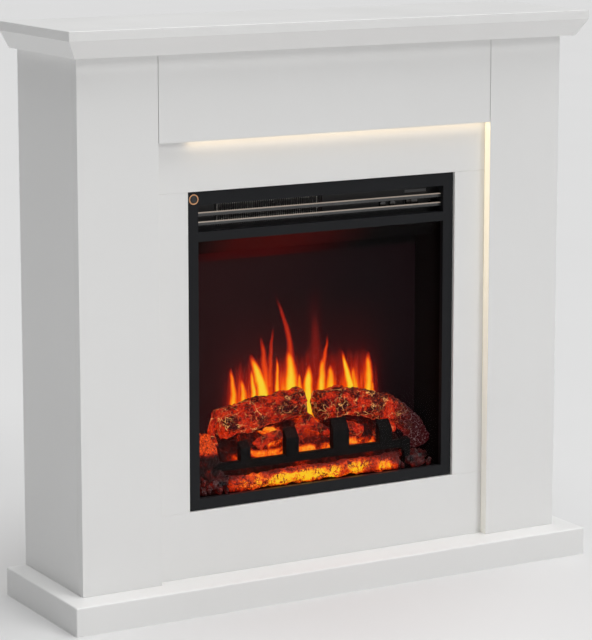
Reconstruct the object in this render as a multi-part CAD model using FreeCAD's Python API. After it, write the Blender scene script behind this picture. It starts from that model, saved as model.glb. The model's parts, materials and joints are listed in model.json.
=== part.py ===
import FreeCAD, Part
import os
from math import cos, sin, tan, radians

# Electric fireplace: a white board surround around a built-in electric firebox.
# Millimetres. X is the width, Y runs from front to back, Z is up. The origin is on the floor, at the
# middle of the outer box. Depths inside the front are counted from FACE, the front of the pilasters.

# Surround
WIDTH = 915.0
DEPTH = 254.0
HEIGHT = 890.0
BOARD = 15.0
PLINTH_HEIGHT = 44.0
PLINTH_OVERHANG = 45.0
PLINTH_ROUND = 2.5
TOP_WIDTH = 908.0
TOP_OVERHANG = 39.0
CROWN_HEIGHT = 26.0
CROWN_RUN = 14.5
CROWN_LAP = 20.0
SIDE_TUCK = 10.5
SURROUND_WIDTH = 851.0
PILASTER_WIDTH = 132.0
HEADER_HEIGHT = 133.0
EASED = 0.7
SEAM = 0.8
BACK_SHEET = 3.0
RAIL_LAP = 20.0
TOP_RAIL_LAP = 70.0
REAR_RAILS = ((PLINTH_HEIGHT, 94.0), (770.0, 830.0))
RIB_X = 200.0
CORNER_BLOCK = 22.0
CORNER_BLOCK_LENGTH = 60.0

FRONT = -DEPTH / 2
BACK = DEPTH / 2
FACE = FRONT + PLINTH_OVERHANG
HALF = SURROUND_WIDTH / 2
BAY = HALF - PILASTER_WIDTH
TOP_UNDERSIDE = HEIGHT - BOARD
CROWN_BASE = TOP_UNDERSIDE - CROWN_HEIGHT
HEADER_BASE = CROWN_BASE - HEADER_HEIGHT

# Firebox
TRIM_WIDTH = 473.0
TRIM_HEIGHT = 490.0
TRIM_BASE = 147.5
TRIM_BORDER = 18.0
TRIM_FRONT = FACE + BOARD + 4.0
TRIM_SHEET = 1.5
TRIM_DEPTH = 12.0
LIP_DEPTH = 8.0
LOUVRE_LIP_DEPTH = 15.0
SLAT_RECESS = 7.5
SLAT_Z = (601.5, 587.2)
OPENING_GAP = 1.0
WINDOW_BASE = 164.5
WINDOW_TOP = 561.5
LOUVRE_BASE = 576.0
LOUVRE_TOP = 617.5
GLASS = 4.0
GLASS_LAP = 5.0
SHEET = 1.2
CASING_HALF = 225.0
CASING_BASE = 153.0
CASING_TOP = 632.0
CASING_BACK = FACE + 155.0
TRIM_TOP = TRIM_BASE + TRIM_HEIGHT
TRIM_HALF = TRIM_WIDTH / 2
WINDOW_HALF = TRIM_HALF - TRIM_BORDER
GLASS_FRONT = TRIM_FRONT + LIP_DEPTH
CASING_FRONT = GLASS_FRONT + GLASS
SHELF_FRONT = CASING_FRONT + 3.0
PANEL_FRONT = FACE + 45.0
SCREEN_FRONT = FACE + 105.0
SCREEN = 3.0
SCREEN_TOP = 522.0
SCREEN_HALF = 221.0
DIVIDER = 568.0
FLOOR = 160.0

# Light strip
CHANNEL_WIDTH = 11.0
CHANNEL_DEPTH = 6.0
CHANNEL_WALL = 1.0
CHANNEL_SET_BACK = 2.0
DIFFUSER = 1.2
TAPE_WIDTH = 8.0
TAPE = 0.8
STRIP_LEFT = -240.0
STRIP_RIGHT = 286.0

# Moving parts
BUTTON_X = (121.0, 139.0)
BUTTON_Z = 592.5
BUTTON_R = 5.6
BUTTON_PROUD = 3.0
ROCKER_X = 175.0
ROCKER_Z = 592.5
ROCKER_LONG = 23.0
ROCKER_HIGH = 8.6
ROCKER_TILT = 8.0
ROCKER_PIVOT_Y = PANEL_FRONT + 3.0
SPINDLE_Y = FACE + 128.0
SPINDLE_Z = 181.0
SPINDLE_R = 2.5
PADDLE_R = 13.0
BLOWER_Y = FACE + 112.0
BLOWER_Z = 601.0
BLOWER_R = 23.0
BLOWER_SHAFT_R = 2.0
RUNNING = 0.05
HEATER_LEFT = -178.0
HEATER_RIGHT = 13.0
GUARD_RIGHT = 22.0
DISPLAY = (162.0, 204.0, 605.5, 611.5)
RECEIVER = (208.0, 221.0, 588.0, 593.5)

# Flame mask
MASK_FRONT = FACE + 112.0
MASK = 0.8
MASK_HALF = 200.0
MASK_BASE = 198.0
MASK_TOP = 385.0

# Logs
GRATE_FRONT = FACE + 47.0
GRATE_DEPTH = 10.0
BED_FRONT = FACE + 60.0
BED_BACK = FACE + 101.0
LOG_R = 22.0

# Rear
GLAND_X = -190.0
GLAND_Z = 190.0
GLAND_R = 8.0
GLAND_BORE_R = 4.2
BRACKET_X = 250.0
BRACKET_HOLE_R = 2.5
BRACKET_HOLE_Z = 852.0


def vec(x, y, z):
    return FreeCAD.Vector(x, y, z)


AXIS_X = vec(1, 0, 0)
AXIS_Y = vec(0, 1, 0)
AXIS_Z = vec(0, 0, 1)
ORIGIN = vec(0, 0, 0)


def block(x0, x1, y0, y1, z0, z1):
    """A box between two corners."""
    return Part.makeBox(x1 - x0, y1 - y0, z1 - z0, vec(x0, y0, z0))


def eased(shape, radius=EASED):
    """A board with every edge taken off by the same small radius."""
    return shape.makeFillet(radius, shape.Edges)


def board(x0, x1, y0, y1, z0, z1):
    return eased(block(x0, x1, y0, y1, z0, z1))


def mirrored(shape):
    return shape.mirror(ORIGIN, AXIS_X)


def both_sides(shape):
    return [shape, mirrored(shape)]


def rod(radius, start, length, axis):
    return Part.makeCylinder(radius, length, start, axis)


def prism_x(outline, x0, x1):
    """A sheet or bar of constant section along X; the outline is a list of (y, z)."""
    points = [vec(x0, y, z) for y, z in outline]
    return Part.Face(Part.makePolygon(points + points[:1])).extrude(vec(x1 - x0, 0, 0))


def between(first, second):
    """A solid with flat faces between two outlines with the same number of corners."""
    following = list(range(1, len(first))) + [0]
    sides = [[first[i], first[j], second[j], second[i]] for i, j in enumerate(following)]
    faces = [Part.Face(Part.makePolygon(points + points[:1])) for points in sides + [first, second]]
    solid = Part.makeSolid(Part.makeShell(faces))
    return solid if solid.Volume > 0 else solid.reversed()


def joined(shapes):
    first, *others = shapes
    return first.fuse(others).removeSplitter() if others else first


def slot_y(x, z, length, width, y0, y1):
    """A cutter for a slot with round ends, cut along Y."""
    reach = length / 2 - width / 2
    parts = [block(x - reach, x + reach, y0, y1, z - width / 2, z + width / 2)]
    parts += [rod(width / 2, vec(x + side * reach, y0, z), y1 - y0, AXIS_Y) for side in (-1, 1)]
    return joined(parts)


# ---------------------------------------------------------------- plinth

def plinth_shell():
    """The whole plinth skin: top, front and ends, rounded outside and open at the back and underside."""
    half = WIDTH / 2
    outer = block(-half, half, FRONT, BACK, 0, PLINTH_HEIGHT)

    def is_outer_edge(edge):
        middle = edge.CenterOfMass
        on_top = abs(middle.z - PLINTH_HEIGHT) < 1e-6 and middle.y < BACK - 1e-6
        at_corner = abs(middle.y - FRONT) < 1e-6 and abs(abs(middle.x) - half) < 1e-6
        return on_top or at_corner

    outer = outer.makeFillet(PLINTH_ROUND, [e for e in outer.Edges if is_outer_edge(e)])
    inside = half - BOARD
    hollow = block(-inside, inside, FRONT + BOARD, BACK + 1, -1, PLINTH_HEIGHT - BOARD)
    return outer.cut(hollow)


def opposite(point):
    """The same point on the left-hand side."""
    return vec(-point.x, point.y, point.z)


def plinth_boards():
    """The plinth skin parted along its mitres into four boards."""
    shell = plinth_shell()
    out = WIDTH / 2 + 1
    inside = WIDTH / 2 - BOARD
    y_out, y_in, y_back = FRONT - 1, FRONT + BOARD, BACK + 1
    z_out, z_in, z_low = PLINTH_HEIGHT + 1, PLINTH_HEIGHT - BOARD, -1
    front_out, front_in = vec(out, y_out, z_out), vec(inside, y_in, z_in)
    back_out, back_in = vec(out, y_back, z_out), vec(inside, y_back, z_in)
    foot_out, foot_in = vec(out, y_out, z_low), vec(inside, y_in, z_low)
    top = between(
        [opposite(front_out), front_out, back_out, opposite(back_out)],
        [opposite(front_in), front_in, back_in, opposite(back_in)],
    )
    front = between(
        [opposite(foot_out), foot_out, front_out, opposite(front_out)],
        [opposite(foot_in), foot_in, front_in, opposite(front_in)],
    )
    left = between(
        [opposite(foot_out), vec(-out, y_back, z_low), opposite(back_out), opposite(front_out)],
        [opposite(foot_in), vec(-inside, y_back, z_low), opposite(back_in), opposite(front_in)],
    )
    left_board = shell.common(left)
    return {
        "plinth_top": shell.common(top),
        "plinth_front": shell.common(front),
        "plinth_left": left_board,
        "plinth_right": mirrored(left_board),
    }


# ---------------------------------------------------------------- pilasters, header and inner frame

def pilaster_face():
    """The left pilaster's front board."""
    return board(-HALF, -BAY, FACE, FACE + BOARD, PLINTH_HEIGHT, CROWN_BASE)


def header_board():
    """The front board over the bay, grooved along its underside for the light strip."""
    reach = BAY - SEAM
    header = board(-reach, reach, FACE, FACE + BOARD, HEADER_BASE, CROWN_BASE)
    y0 = FACE + CHANNEL_SET_BACK
    return header.cut(block(STRIP_LEFT, STRIP_RIGHT, y0, y0 + CHANNEL_WIDTH, HEADER_BASE - 1,
                            HEADER_BASE + CHANNEL_DEPTH))


def inner_frame():
    """Two rails and two stiles set back behind the pilasters, around the firebox opening."""
    y0, y1 = FACE + BOARD, FACE + 2 * BOARD
    reach = BAY + RAIL_LAP
    opening = TRIM_HALF + OPENING_GAP
    low, high = TRIM_BASE - OPENING_GAP, TRIM_TOP + OPENING_GAP
    stile = board(-reach, -opening, y0, y1, low, high)
    return {
        "inner_top_rail": board(-reach, reach, y0, y1, high, HEADER_BASE + TOP_RAIL_LAP),
        "inner_bottom_rail": board(-reach, reach, y0, y1, PLINTH_HEIGHT, low),
        "inner_left_stile": stile,
        "inner_right_stile": mirrored(stile),
    }


def rail_screw_places():
    """(x, z) of the screws that hold the rear rails to the pilaster returns."""
    inset = 15.0
    heights = [z for low, high in REAR_RAILS for z in (low + inset, high - inset)]
    return [(side * (BAY + BOARD / 2), z) for side in (-1, 1) for z in heights]


def wood_screw(x, z):
    """A countersunk screw driven forward from the back plane."""
    head_r, shank_r, head_h, length = 3.8, 1.9, 2.6, 38.0
    head = Part.makeCone(head_r, shank_r, head_h, vec(x, BACK, z), vec(0, -1, 0))
    return joined([head, rod(shank_r, vec(x, BACK - head_h, z), length - head_h, vec(0, -1, 0))])


def carcass(screws):
    """The boards behind the face: side panels, returns, back sheets, rails, blocks and the shelf."""
    side = board(-HALF, -HALF + BOARD, FACE + BOARD, BACK, PLINTH_HEIGHT, CROWN_BASE)
    back_of_return = BACK - BOARD
    ret = block(-BAY - BOARD, -BAY, FACE + 2 * BOARD, back_of_return, PLINTH_HEIGHT, CROWN_BASE)
    back = block(-HALF + BOARD, -BAY - BOARD, BACK - BACK_SHEET, BACK, PLINTH_HEIGHT, CROWN_BASE)
    reach = BAY + BOARD
    rails = [block(-reach, reach, back_of_return, BACK, low, high) for low, high in REAR_RAILS]
    plinth_inside = WIDTH / 2 - BOARD
    plinth_under = PLINTH_HEIGHT - BOARD
    ribs = [block(-plinth_inside, plinth_inside, back_of_return, BACK, 0, plinth_under)]
    ribs += [block(x - BOARD / 2, x + BOARD / 2, FRONT + BOARD, back_of_return, 0, plinth_under)
             for x in (-RIB_X, RIB_X)]
    size, length = CORNER_BLOCK, CORNER_BLOCK_LENGTH
    blocks = []
    for z in (PLINTH_HEIGHT, (PLINTH_HEIGHT + CROWN_BASE - length) / 2, CROWN_BASE - length):
        blocks += both_sides(block(-HALF + BOARD, -HALF + BOARD + size, FACE + BOARD,
                                   FACE + BOARD + size, z, z + length))
    return {
        "left_side_panel": side,
        "right_side_panel": mirrored(side),
        "pilaster_returns": [s.cut(screws) for s in both_sides(ret)],
        "pilaster_backs": both_sides(back),
        "inner_cleats": [r.cut(screws) for r in rails] + ribs + blocks,
        "insert_shelf": block(-BAY, BAY, SHELF_FRONT, back_of_return, CASING_BASE - BOARD, CASING_BASE),
    }


# ---------------------------------------------------------------- top and crown

def crown_corner(side, offset, z):
    """The mitre point of the crown at one offset in front of the pilasters."""
    return vec(side * (HALF + offset - SIDE_TUCK), FACE - offset, z)


def crown():
    """Three mitred boards under the top, their outer faces sloping in towards the pilasters."""
    lip = TOP_OVERHANG - 1.0
    profile = [(lip, TOP_UNDERSIDE), (lip - CROWN_RUN, CROWN_BASE), (-CROWN_LAP, CROWN_BASE),
               (-CROWN_LAP, TOP_UNDERSIDE)]
    left_mitre = [crown_corner(-1, o, z) for o, z in profile]
    right_mitre = [crown_corner(1, o, z) for o, z in profile]
    left_rear = [vec(p.x, BACK, p.z) for p in left_mitre]
    left = between(left_mitre, left_rear)
    return {
        "crown_front": between(left_mitre, right_mitre),
        "crown_left": left,
        "crown_right": mirrored(left),
    }


def wall_bracket(x):
    """An angle under the top board with a hole in its upright leg, flush with the back plane."""
    half_width, leg, metal = 15, 35, 1.5
    upright = block(x - half_width, x + half_width, BACK - metal, BACK, TOP_UNDERSIDE - leg, TOP_UNDERSIDE)
    flat = block(x - half_width, x + half_width, BACK - leg, BACK, TOP_UNDERSIDE - metal, TOP_UNDERSIDE)
    hole = rod(BRACKET_HOLE_R, vec(x, BACK - 2 * metal, BRACKET_HOLE_Z), 3 * metal, AXIS_Y)
    return joined([upright, flat]).cut(hole)


def surround():
    half_top = TOP_WIDTH / 2
    top_front = FACE - TOP_OVERHANG
    screws = [wood_screw(x, z) for x, z in rail_screw_places()]
    left_face = pilaster_face()
    nodes = {
        "top_board": eased(block(-half_top, half_top, top_front, BACK, TOP_UNDERSIDE, HEIGHT), 1.0),
        "left_pilaster_face": left_face,
        "right_pilaster_face": mirrored(left_face),
        "header_board": header_board(),
        "surround_screws": screws,
        "wall_brackets": [wall_bracket(-BRACKET_X), wall_bracket(BRACKET_X)],
    }
    nodes.update(plinth_boards())
    nodes.update(inner_frame())
    nodes.update(carcass(screws))
    nodes.update(crown())
    return nodes


# ---------------------------------------------------------------- light strip

def light_strip():
    """A channel in the header's groove, the tape on its bed and the diffuser that closes its mouth."""
    x0, x1, y0, z0 = STRIP_LEFT, STRIP_RIGHT, FACE + CHANNEL_SET_BACK, HEADER_BASE
    y1, bed = y0 + CHANNEL_WIDTH, z0 + CHANNEL_DEPTH - CHANNEL_WALL
    hollow = block(x0, x1, y0 + CHANNEL_WALL, y1 - CHANNEL_WALL, z0, bed)
    side = (CHANNEL_WIDTH - TAPE_WIDTH) / 2
    return {
        "led_channel": block(x0, x1, y0, y1, z0, z0 + CHANNEL_DEPTH).cut(hollow),
        "led_tape": block(x0 + 2, x1 - 2, y0 + side, y1 - side, bed - TAPE, bed),
        "led_diffuser": block(x0, x1, y0 + CHANNEL_WALL, y1 - CHANNEL_WALL, z0, z0 + DIFFUSER),
    }


def led_driver():
    """The strip's power supply, screwed to the back of the inner top rail by its ears."""
    half_long, half_high, deep, ear, middle = 60.0, 21.0, 26.0, 12.0, 721.0
    y0 = FACE + 2 * BOARD
    body = eased(block(-half_long, half_long, y0, y0 + deep, middle - half_high, middle + half_high), 2.0)
    reach = half_long + ear
    ears = block(-reach, reach, y0, y0 + 2, middle - 9, middle + 9)
    holes = [rod(2.0, vec(side * (reach - ear / 2), y0 - 1, middle), 5, AXIS_Y) for side in (-1, 1)]
    return joined([body, ears]).cut(holes)


# ---------------------------------------------------------------- firebox shell

def ring(half, low, high, y0, y1, metal):
    """A rectangular tube of sheet metal along Y, counted outwards from an opening."""
    outer = block(-half - metal, half + metal, y0, y1, low - metal, high + metal)
    return outer.cut(block(-half, half, y0 - 1, y1 + 1, low, high))


def trim_frame():
    """The black front frame: a pressed skin with a returned outer edge and a lip around each opening."""
    skin = block(-TRIM_HALF, TRIM_HALF, TRIM_FRONT, TRIM_FRONT + TRIM_SHEET, TRIM_BASE, TRIM_TOP)
    edge = ring(TRIM_HALF - TRIM_SHEET, TRIM_BASE + TRIM_SHEET, TRIM_TOP - TRIM_SHEET,
                TRIM_FRONT, TRIM_FRONT + TRIM_DEPTH, TRIM_SHEET)
    openings = ((WINDOW_BASE, WINDOW_TOP, LIP_DEPTH), (LOUVRE_BASE, LOUVRE_TOP, LOUVRE_LIP_DEPTH))
    front = TRIM_FRONT
    lips = [ring(WINDOW_HALF, low, high, front, front + deep, SHEET) for low, high, deep in openings]
    holes = [block(-WINDOW_HALF, WINDOW_HALF, TRIM_FRONT - 1, TRIM_FRONT + TRIM_SHEET + 1, low, high)
             for low, high, _ in openings]
    frame = joined([skin, edge] + lips).cut(holes)
    outer_corners = [e for e in frame.Edges
                     if abs(e.CenterOfMass.y - TRIM_FRONT) < 1e-6
                     and (abs(abs(e.CenterOfMass.x) - TRIM_HALF) < 1e-6
                          or abs(e.CenterOfMass.z - TRIM_BASE) < 1e-6
                          or abs(e.CenterOfMass.z - TRIM_TOP) < 1e-6)]
    return frame.makeFillet(0.8, outer_corners)


def slat(z):
    """A louvre bar with rounded long edges, held between the side lips of its opening."""
    high, deep, edge_round = 6.0, 7.0, 1.8
    y0 = TRIM_FRONT + SLAT_RECESS
    bar = block(-WINDOW_HALF, WINDOW_HALF, y0, y0 + deep, z - high / 2, z + high / 2)
    return bar.makeFillet(edge_round, [e for e in bar.Edges if e.Length > 100])


def casing_wrap():
    """The folded sheet around the firebox, with an outward flange in front and an inward one behind."""
    low, high = CASING_BASE + SHEET, CASING_TOP - SHEET
    tube = ring(CASING_HALF - SHEET, low, high, CASING_FRONT, CASING_BACK, SHEET)
    front = block(-TRIM_HALF + TRIM_SHEET, TRIM_HALF - TRIM_SHEET, CASING_FRONT, CASING_FRONT + SHEET,
                  TRIM_BASE + TRIM_SHEET, TRIM_TOP - TRIM_SHEET)
    front = front.cut(block(-CASING_HALF + SHEET, CASING_HALF - SHEET, CASING_FRONT - 1,
                            CASING_FRONT + 2, low, high))
    inward = 12.0
    rear = block(-CASING_HALF, CASING_HALF, CASING_BACK - SHEET, CASING_BACK, CASING_BASE, CASING_TOP)
    rear = rear.cut(block(-CASING_HALF + inward, CASING_HALF - inward, CASING_BACK - 2, CASING_BACK + 1,
                          CASING_BASE + inward, CASING_TOP - inward))
    return joined([tube, front, rear]).cut([casing_screw(x, z) for x, z in casing_screw_places()])


def casing_screw_places():
    """(x, z) of the screws around the rear cover."""
    inset = 6.0
    x_edge, low, high = CASING_HALF - inset, CASING_BASE + inset, CASING_TOP - inset
    sides = [(side * x_edge, z) for side in (-1, 1) for z in (low, 275, 395, 515, high)]
    return sides + [(x, z) for x in (-75, 75) for z in (low, high)]


def casing_screw(x, z):
    """A pan-head screw through the rear cover and the casing's flange."""
    head_r, head_h, shank_r, length = 3.6, 2.2, 1.8, 5.5
    cover = CASING_BACK + SHEET
    head = rod(head_r, vec(x, cover, z), head_h, AXIS_Y)
    crown_edge = [e for e in head.Edges if abs(e.CenterOfMass.y - cover - head_h) < 1e-6]
    return joined([head.makeFillet(1.0, crown_edge), rod(shank_r, vec(x, cover, z), length, vec(0, -1, 0))])


def casing_back(screws):
    """The rear cover, with air slots high and low, and the hole for the cord gland."""
    y0, y1 = CASING_BACK, CASING_BACK + SHEET
    plate = block(-CASING_HALF, CASING_HALF, y0, y1, CASING_BASE, CASING_TOP)
    slots = [slot_y(x, z, 44, 4, y0 - 1, y1 + 1)
             for x in (-140, -84, -28) for z in (584, 592, 600, 608, 616)]
    slots += [slot_y(x, z, 44, 4, y0 - 1, y1 + 1) for x in (28, 84, 140) for z in (176, 184, 192, 200)]
    hole = rod(GLAND_R, vec(GLAND_X, y0 - 1, GLAND_Z), 4, AXIS_Y)
    return plate.cut(slots + [hole] + screws)


def cord_gland():
    """The flanged bush that the mains lead passes through."""
    y0, y1 = CASING_BACK - 6, CASING_BACK + SHEET
    body = rod(GLAND_R, vec(GLAND_X, y0, GLAND_Z), y1 - y0, AXIS_Y)
    flange = rod(GLAND_R + 3, vec(GLAND_X, y1, GLAND_Z), 3, AXIS_Y)
    nose = [e for e in flange.Edges if abs(e.CenterOfMass.y - y1 - 3) < 1e-6]
    bore = rod(GLAND_BORE_R, vec(GLAND_X, y0 - 1, GLAND_Z), 20, AXIS_Y)
    return joined([body, flange.makeFillet(1.2, nose)]).cut(bore)


def firebox_hood():
    """The shelf over the fire: a divider, a sloping front lip and a channel that holds the screen's top."""
    inside = CASING_HALF - SHEET
    lip_front, lip_run, lip_foot, knee = CASING_FRONT + 0.5, 25.0, 536.0, DIVIDER - 3
    lip = [(lip_front, DIVIDER), (lip_front, knee), (lip_front + lip_run, lip_foot),
           (lip_front + lip_run + SHEET, lip_foot), (lip_front + 2, knee), (lip_front + 2, DIVIDER)]
    leaves = (SCREEN_FRONT - SHEET, SCREEN_FRONT + SCREEN)
    leaf_foot = SCREEN_TOP - 7
    divider = block(-inside, inside, CASING_FRONT, CASING_BACK - SHEET, DIVIDER, DIVIDER + SHEET)
    channel = [block(-SCREEN_HALF, SCREEN_HALF, y, y + SHEET, leaf_foot, DIVIDER) for y in leaves]
    return joined([divider, prism_x(lip, -SCREEN_HALF, SCREEN_HALF)] + channel)


def firebox_liner():
    """The black folded liner: a floor and two side walls, open to the glass and to the screen."""
    wall = SCREEN_HALF + 0.5
    outer = block(-wall - SHEET, wall + SHEET, CASING_FRONT, SCREEN_FRONT + SCREEN, FLOOR, DIVIDER)
    back = SCREEN_FRONT + SCREEN + 1
    return outer.cut(block(-wall, wall, CASING_FRONT - 1, back, FLOOR + SHEET, DIVIDER + 1))


def firebox():
    glass_half = WINDOW_HALF + GLASS_LAP
    screws = [casing_screw(x, z) for x, z in casing_screw_places()]
    badge_x, badge_z, badge_r = -TRIM_HALF + 10.5, TRIM_TOP - 11.0, 8.0
    badge = rod(badge_r, vec(badge_x, TRIM_FRONT - 0.6, badge_z), 0.6, AXIS_Y)
    return {
        "trim_frame": trim_frame(),
        "trim_badge": badge,
        "front_glass": block(-glass_half, glass_half, GLASS_FRONT, CASING_FRONT,
                             WINDOW_BASE - GLASS_LAP, WINDOW_TOP + GLASS_LAP),
        "upper_slat": slat(SLAT_Z[0]),
        "lower_slat": slat(SLAT_Z[1]),
        "casing_wrap": casing_wrap(),
        "casing_back": casing_back(screws),
        "casing_screws": screws,
        "cord_gland": cord_gland(),
        "firebox_hood": firebox_hood(),
        "firebox_liner": firebox_liner(),
    }


# ---------------------------------------------------------------- controls

def button(x):
    """A round push button: a domed cap, a flange behind the panel and a stem to its switch."""
    face = PANEL_FRONT - BUTTON_PROUD
    flange_front = PANEL_FRONT + 1.5 + 0.3
    cap = rod(BUTTON_R, vec(x, face, BUTTON_Z), flange_front - face, AXIS_Y)
    rim = [e for e in cap.Edges if abs(e.CenterOfMass.y - face) < 1e-6]
    flange = rod(BUTTON_R + 1.2, vec(x, flange_front, BUTTON_Z), 1.2, AXIS_Y)
    stem = rod(1.6, vec(x, flange_front + 1.2, BUTTON_Z), 1.9, AXIS_Y)
    return joined([cap.makeFillet(1.2, rim), flange, stem])


def power_rocker():
    """The rocker of the main switch, tilted to one side about its upright pivot."""
    half_long, half_high = ROCKER_LONG / 2, ROCKER_HIGH / 2
    rise = half_long * tan(radians(ROCKER_TILT))
    proud, y = 3.2, ROCKER_PIVOT_Y
    outline = [(-half_long, y - proud - rise), (0, y - proud), (half_long, y - proud - rise),
               (half_long * 0.8, y + 2.0), (0, y + 5.0), (-half_long * 0.8, y + 2.0)]
    points = [vec(ROCKER_X + x, py, ROCKER_Z - half_high) for x, py in outline]
    key = Part.Face(Part.makePolygon(points + points[:1])).extrude(vec(0, 0, ROCKER_HIGH))
    pin = rod(1.0, vec(ROCKER_X, y, ROCKER_Z - half_high - 1.0), ROCKER_HIGH + 2.0, AXIS_Z)
    tilted = joined([key, pin])
    tilted.rotate(vec(ROCKER_X, y, 0), AXIS_Z, ROCKER_TILT)
    return tilted


def rocker_housing():
    """The main switch's body behind the panel, with a bezel in front and a bore for the rocker's pin."""
    half_long, half_high, wall = ROCKER_LONG / 2 + 0.8, ROCKER_HIGH / 2 + 0.4, 1.2
    y0, y1 = PANEL_FRONT - 1.2, PANEL_FRONT + 16
    body = block(ROCKER_X - half_long - wall, ROCKER_X + half_long + wall, y0, y1,
                 ROCKER_Z - half_high - wall, ROCKER_Z + half_high + wall)
    bezel = block(ROCKER_X - half_long - 2.2, ROCKER_X + half_long + 2.2, y0, PANEL_FRONT,
                  ROCKER_Z - half_high - 2.0, ROCKER_Z + half_high + 2.0)
    hollow = block(ROCKER_X - half_long, ROCKER_X + half_long, y0 - 1, y1 - 2,
                   ROCKER_Z - half_high, ROCKER_Z + half_high)
    bore = rod(1.0 + RUNNING, vec(ROCKER_X, ROCKER_PIVOT_Y, ROCKER_Z - 7), 14, AXIS_Z)
    return joined([body, bezel]).cut([hollow, bore])


def panel_end():
    """How far out the plates behind the louvre reach, just short of the casing."""
    return CASING_HALF - SHEET - 0.3


def panel_window(corners, y0, y1):
    x0, x1, z0, z1 = corners
    return block(x0, x1, y0, y1, z0, z1)


def control_panel():
    """The plate behind the slats, pierced for the buttons, the main switch and the two windows."""
    sheet = 1.5
    y0, y1 = PANEL_FRONT - 1, PANEL_FRONT + sheet + 1
    low, high = LOUVRE_BASE - 3, LOUVRE_TOP + 3
    panel = block(GUARD_RIGHT, panel_end(), PANEL_FRONT, PANEL_FRONT + sheet, low, high)
    holes = [rod(BUTTON_R + 0.3, vec(x, y0, BUTTON_Z), y1 - y0, AXIS_Y) for x in BUTTON_X]
    box = rocker_housing().BoundBox
    bezel = 1.0
    cut_out = block(box.XMin + bezel, box.XMax - bezel, y0, y1, box.ZMin + 0.8, box.ZMax - 0.8)
    windows = [panel_window(corners, y0, y1) for corners in (DISPLAY, RECEIVER)]
    return panel.cut(holes + [cut_out] + windows)


def controls():
    front, back = PANEL_FRONT - 0.4, PANEL_FRONT + 1.5
    lenses = [panel_window(corners, front, back) for corners in (DISPLAY, RECEIVER)]
    board_front = PANEL_FRONT + 11
    left, right = BUTTON_X[0] - 21, BUTTON_X[1] + 18
    circuit = block(left, right, board_front, board_front + 1.6, LOUVRE_BASE + 1, LOUVRE_TOP - 1)
    half, deep = 3.0, 4.4
    switches = [block(x - half, x + half, board_front - deep, board_front, BUTTON_Z - half, BUTTON_Z + half)
                for x in BUTTON_X]
    return {
        "control_panel": control_panel(),
        "panel_lenses": lenses,
        "button_flame": button(BUTTON_X[0]),
        "button_heat": button(BUTTON_X[1]),
        "rocker_housing": rocker_housing(),
        "power_rocker": power_rocker(),
        "control_board": [circuit] + switches,
    }


# ---------------------------------------------------------------- heater

def outlet_guard():
    """The plate in front of the heater, with a row of upright slots."""
    pitch, slot_width, y1 = 3.8, 2.2, PANEL_FRONT + SHEET
    plate = block(-panel_end(), GUARD_RIGHT, PANEL_FRONT, y1, LOUVRE_BASE - 3, LOUVRE_TOP + 3)
    count = int((HEATER_RIGHT - HEATER_LEFT) / pitch)
    first = HEATER_LEFT + pitch / 2
    slots = [block(first + i * pitch - slot_width / 2, first + i * pitch + slot_width / 2,
                   PANEL_FRONT - 1, y1 + 1, LOUVRE_BASE + 4, LOUVRE_TOP - 4) for i in range(count)]
    return plate.cut(slots)


def blower_wheel():
    """A crossflow wheel: slanted blades between three discs on one shaft."""
    left, right, disc = HEATER_LEFT + 14, HEATER_RIGHT - 13, 1.2
    middle = (left + right - disc) / 2
    axis_at = vec(0, BLOWER_Y, BLOWER_Z)
    discs = [rod(BLOWER_R, vec(x, BLOWER_Y, BLOWER_Z), disc, AXIS_X) for x in (left, middle, right - disc)]
    shaft_left, shaft_right = HEATER_LEFT - 3, HEATER_RIGHT + 9
    shaft = rod(BLOWER_SHAFT_R, vec(shaft_left, BLOWER_Y, BLOWER_Z), shaft_right - shaft_left, AXIS_X)
    blades = []
    count, chord, thick = 22, 5.0, 0.7
    for i in range(count):
        blade = block(left, right, BLOWER_Y - thick / 2, BLOWER_Y + thick / 2,
                      BLOWER_Z - chord / 2, BLOWER_Z + chord / 2)
        blade.rotate(axis_at, AXIS_X, 30)
        blade.translate(vec(0, 0, BLOWER_R - chord / 2 - 0.4))
        blade.rotate(axis_at, AXIS_X, 360 * i / count)
        blades.append(blade)
    return joined(discs + [shaft] + blades)


def blower_housing():
    """The folded scroll around the wheel, open to the heater in front and to the rear slots behind."""
    wall, y0, y1, z0, z1 = 1.5, FACE + 68, FACE + 149, DIVIDER + 3, CASING_TOP - 3
    shell = block(HEATER_LEFT, HEATER_RIGHT, y0, y1, z0, z1)
    inner_left, inner_right = HEATER_LEFT + wall, HEATER_RIGHT - wall
    shell = shell.cut(block(inner_left, inner_right, y0 - 1, y1 - wall, z0 + wall, z1 - wall))
    intake = block(HEATER_LEFT + 8, HEATER_RIGHT - 8, y1 - 3, y1 + 1, z0 + 8, z1 - 8)
    left_bearing = rod(BLOWER_SHAFT_R + RUNNING, vec(HEATER_LEFT - 1, BLOWER_Y, BLOWER_Z), 5, AXIS_X)
    right_hole = rod(5, vec(HEATER_RIGHT - 3, BLOWER_Y, BLOWER_Z), 6, AXIS_X)
    return shell.cut([intake, left_bearing, right_hole])


def heating_element():
    """The ceramic heater: a frame with three heating bars and a fin block in each gap."""
    x0, x1 = HEATER_LEFT + 6, HEATER_RIGHT - 6
    y0, y1 = FACE + 50, FACE + 64
    low, high = 579.0, 621.0
    frame = block(x0, x1, y0, y1, low, high).cut(block(x0 + 5, x1 - 5, y0 - 1, y1 + 1, low + 3, high - 3))
    bars = [block(x0 + 5, x1 - 5, y0 + 3, y1 - 3, z - 1.5, z + 1.5) for z in (588.5, 600.0, 611.5)]
    return joined([frame] + bars)


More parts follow.
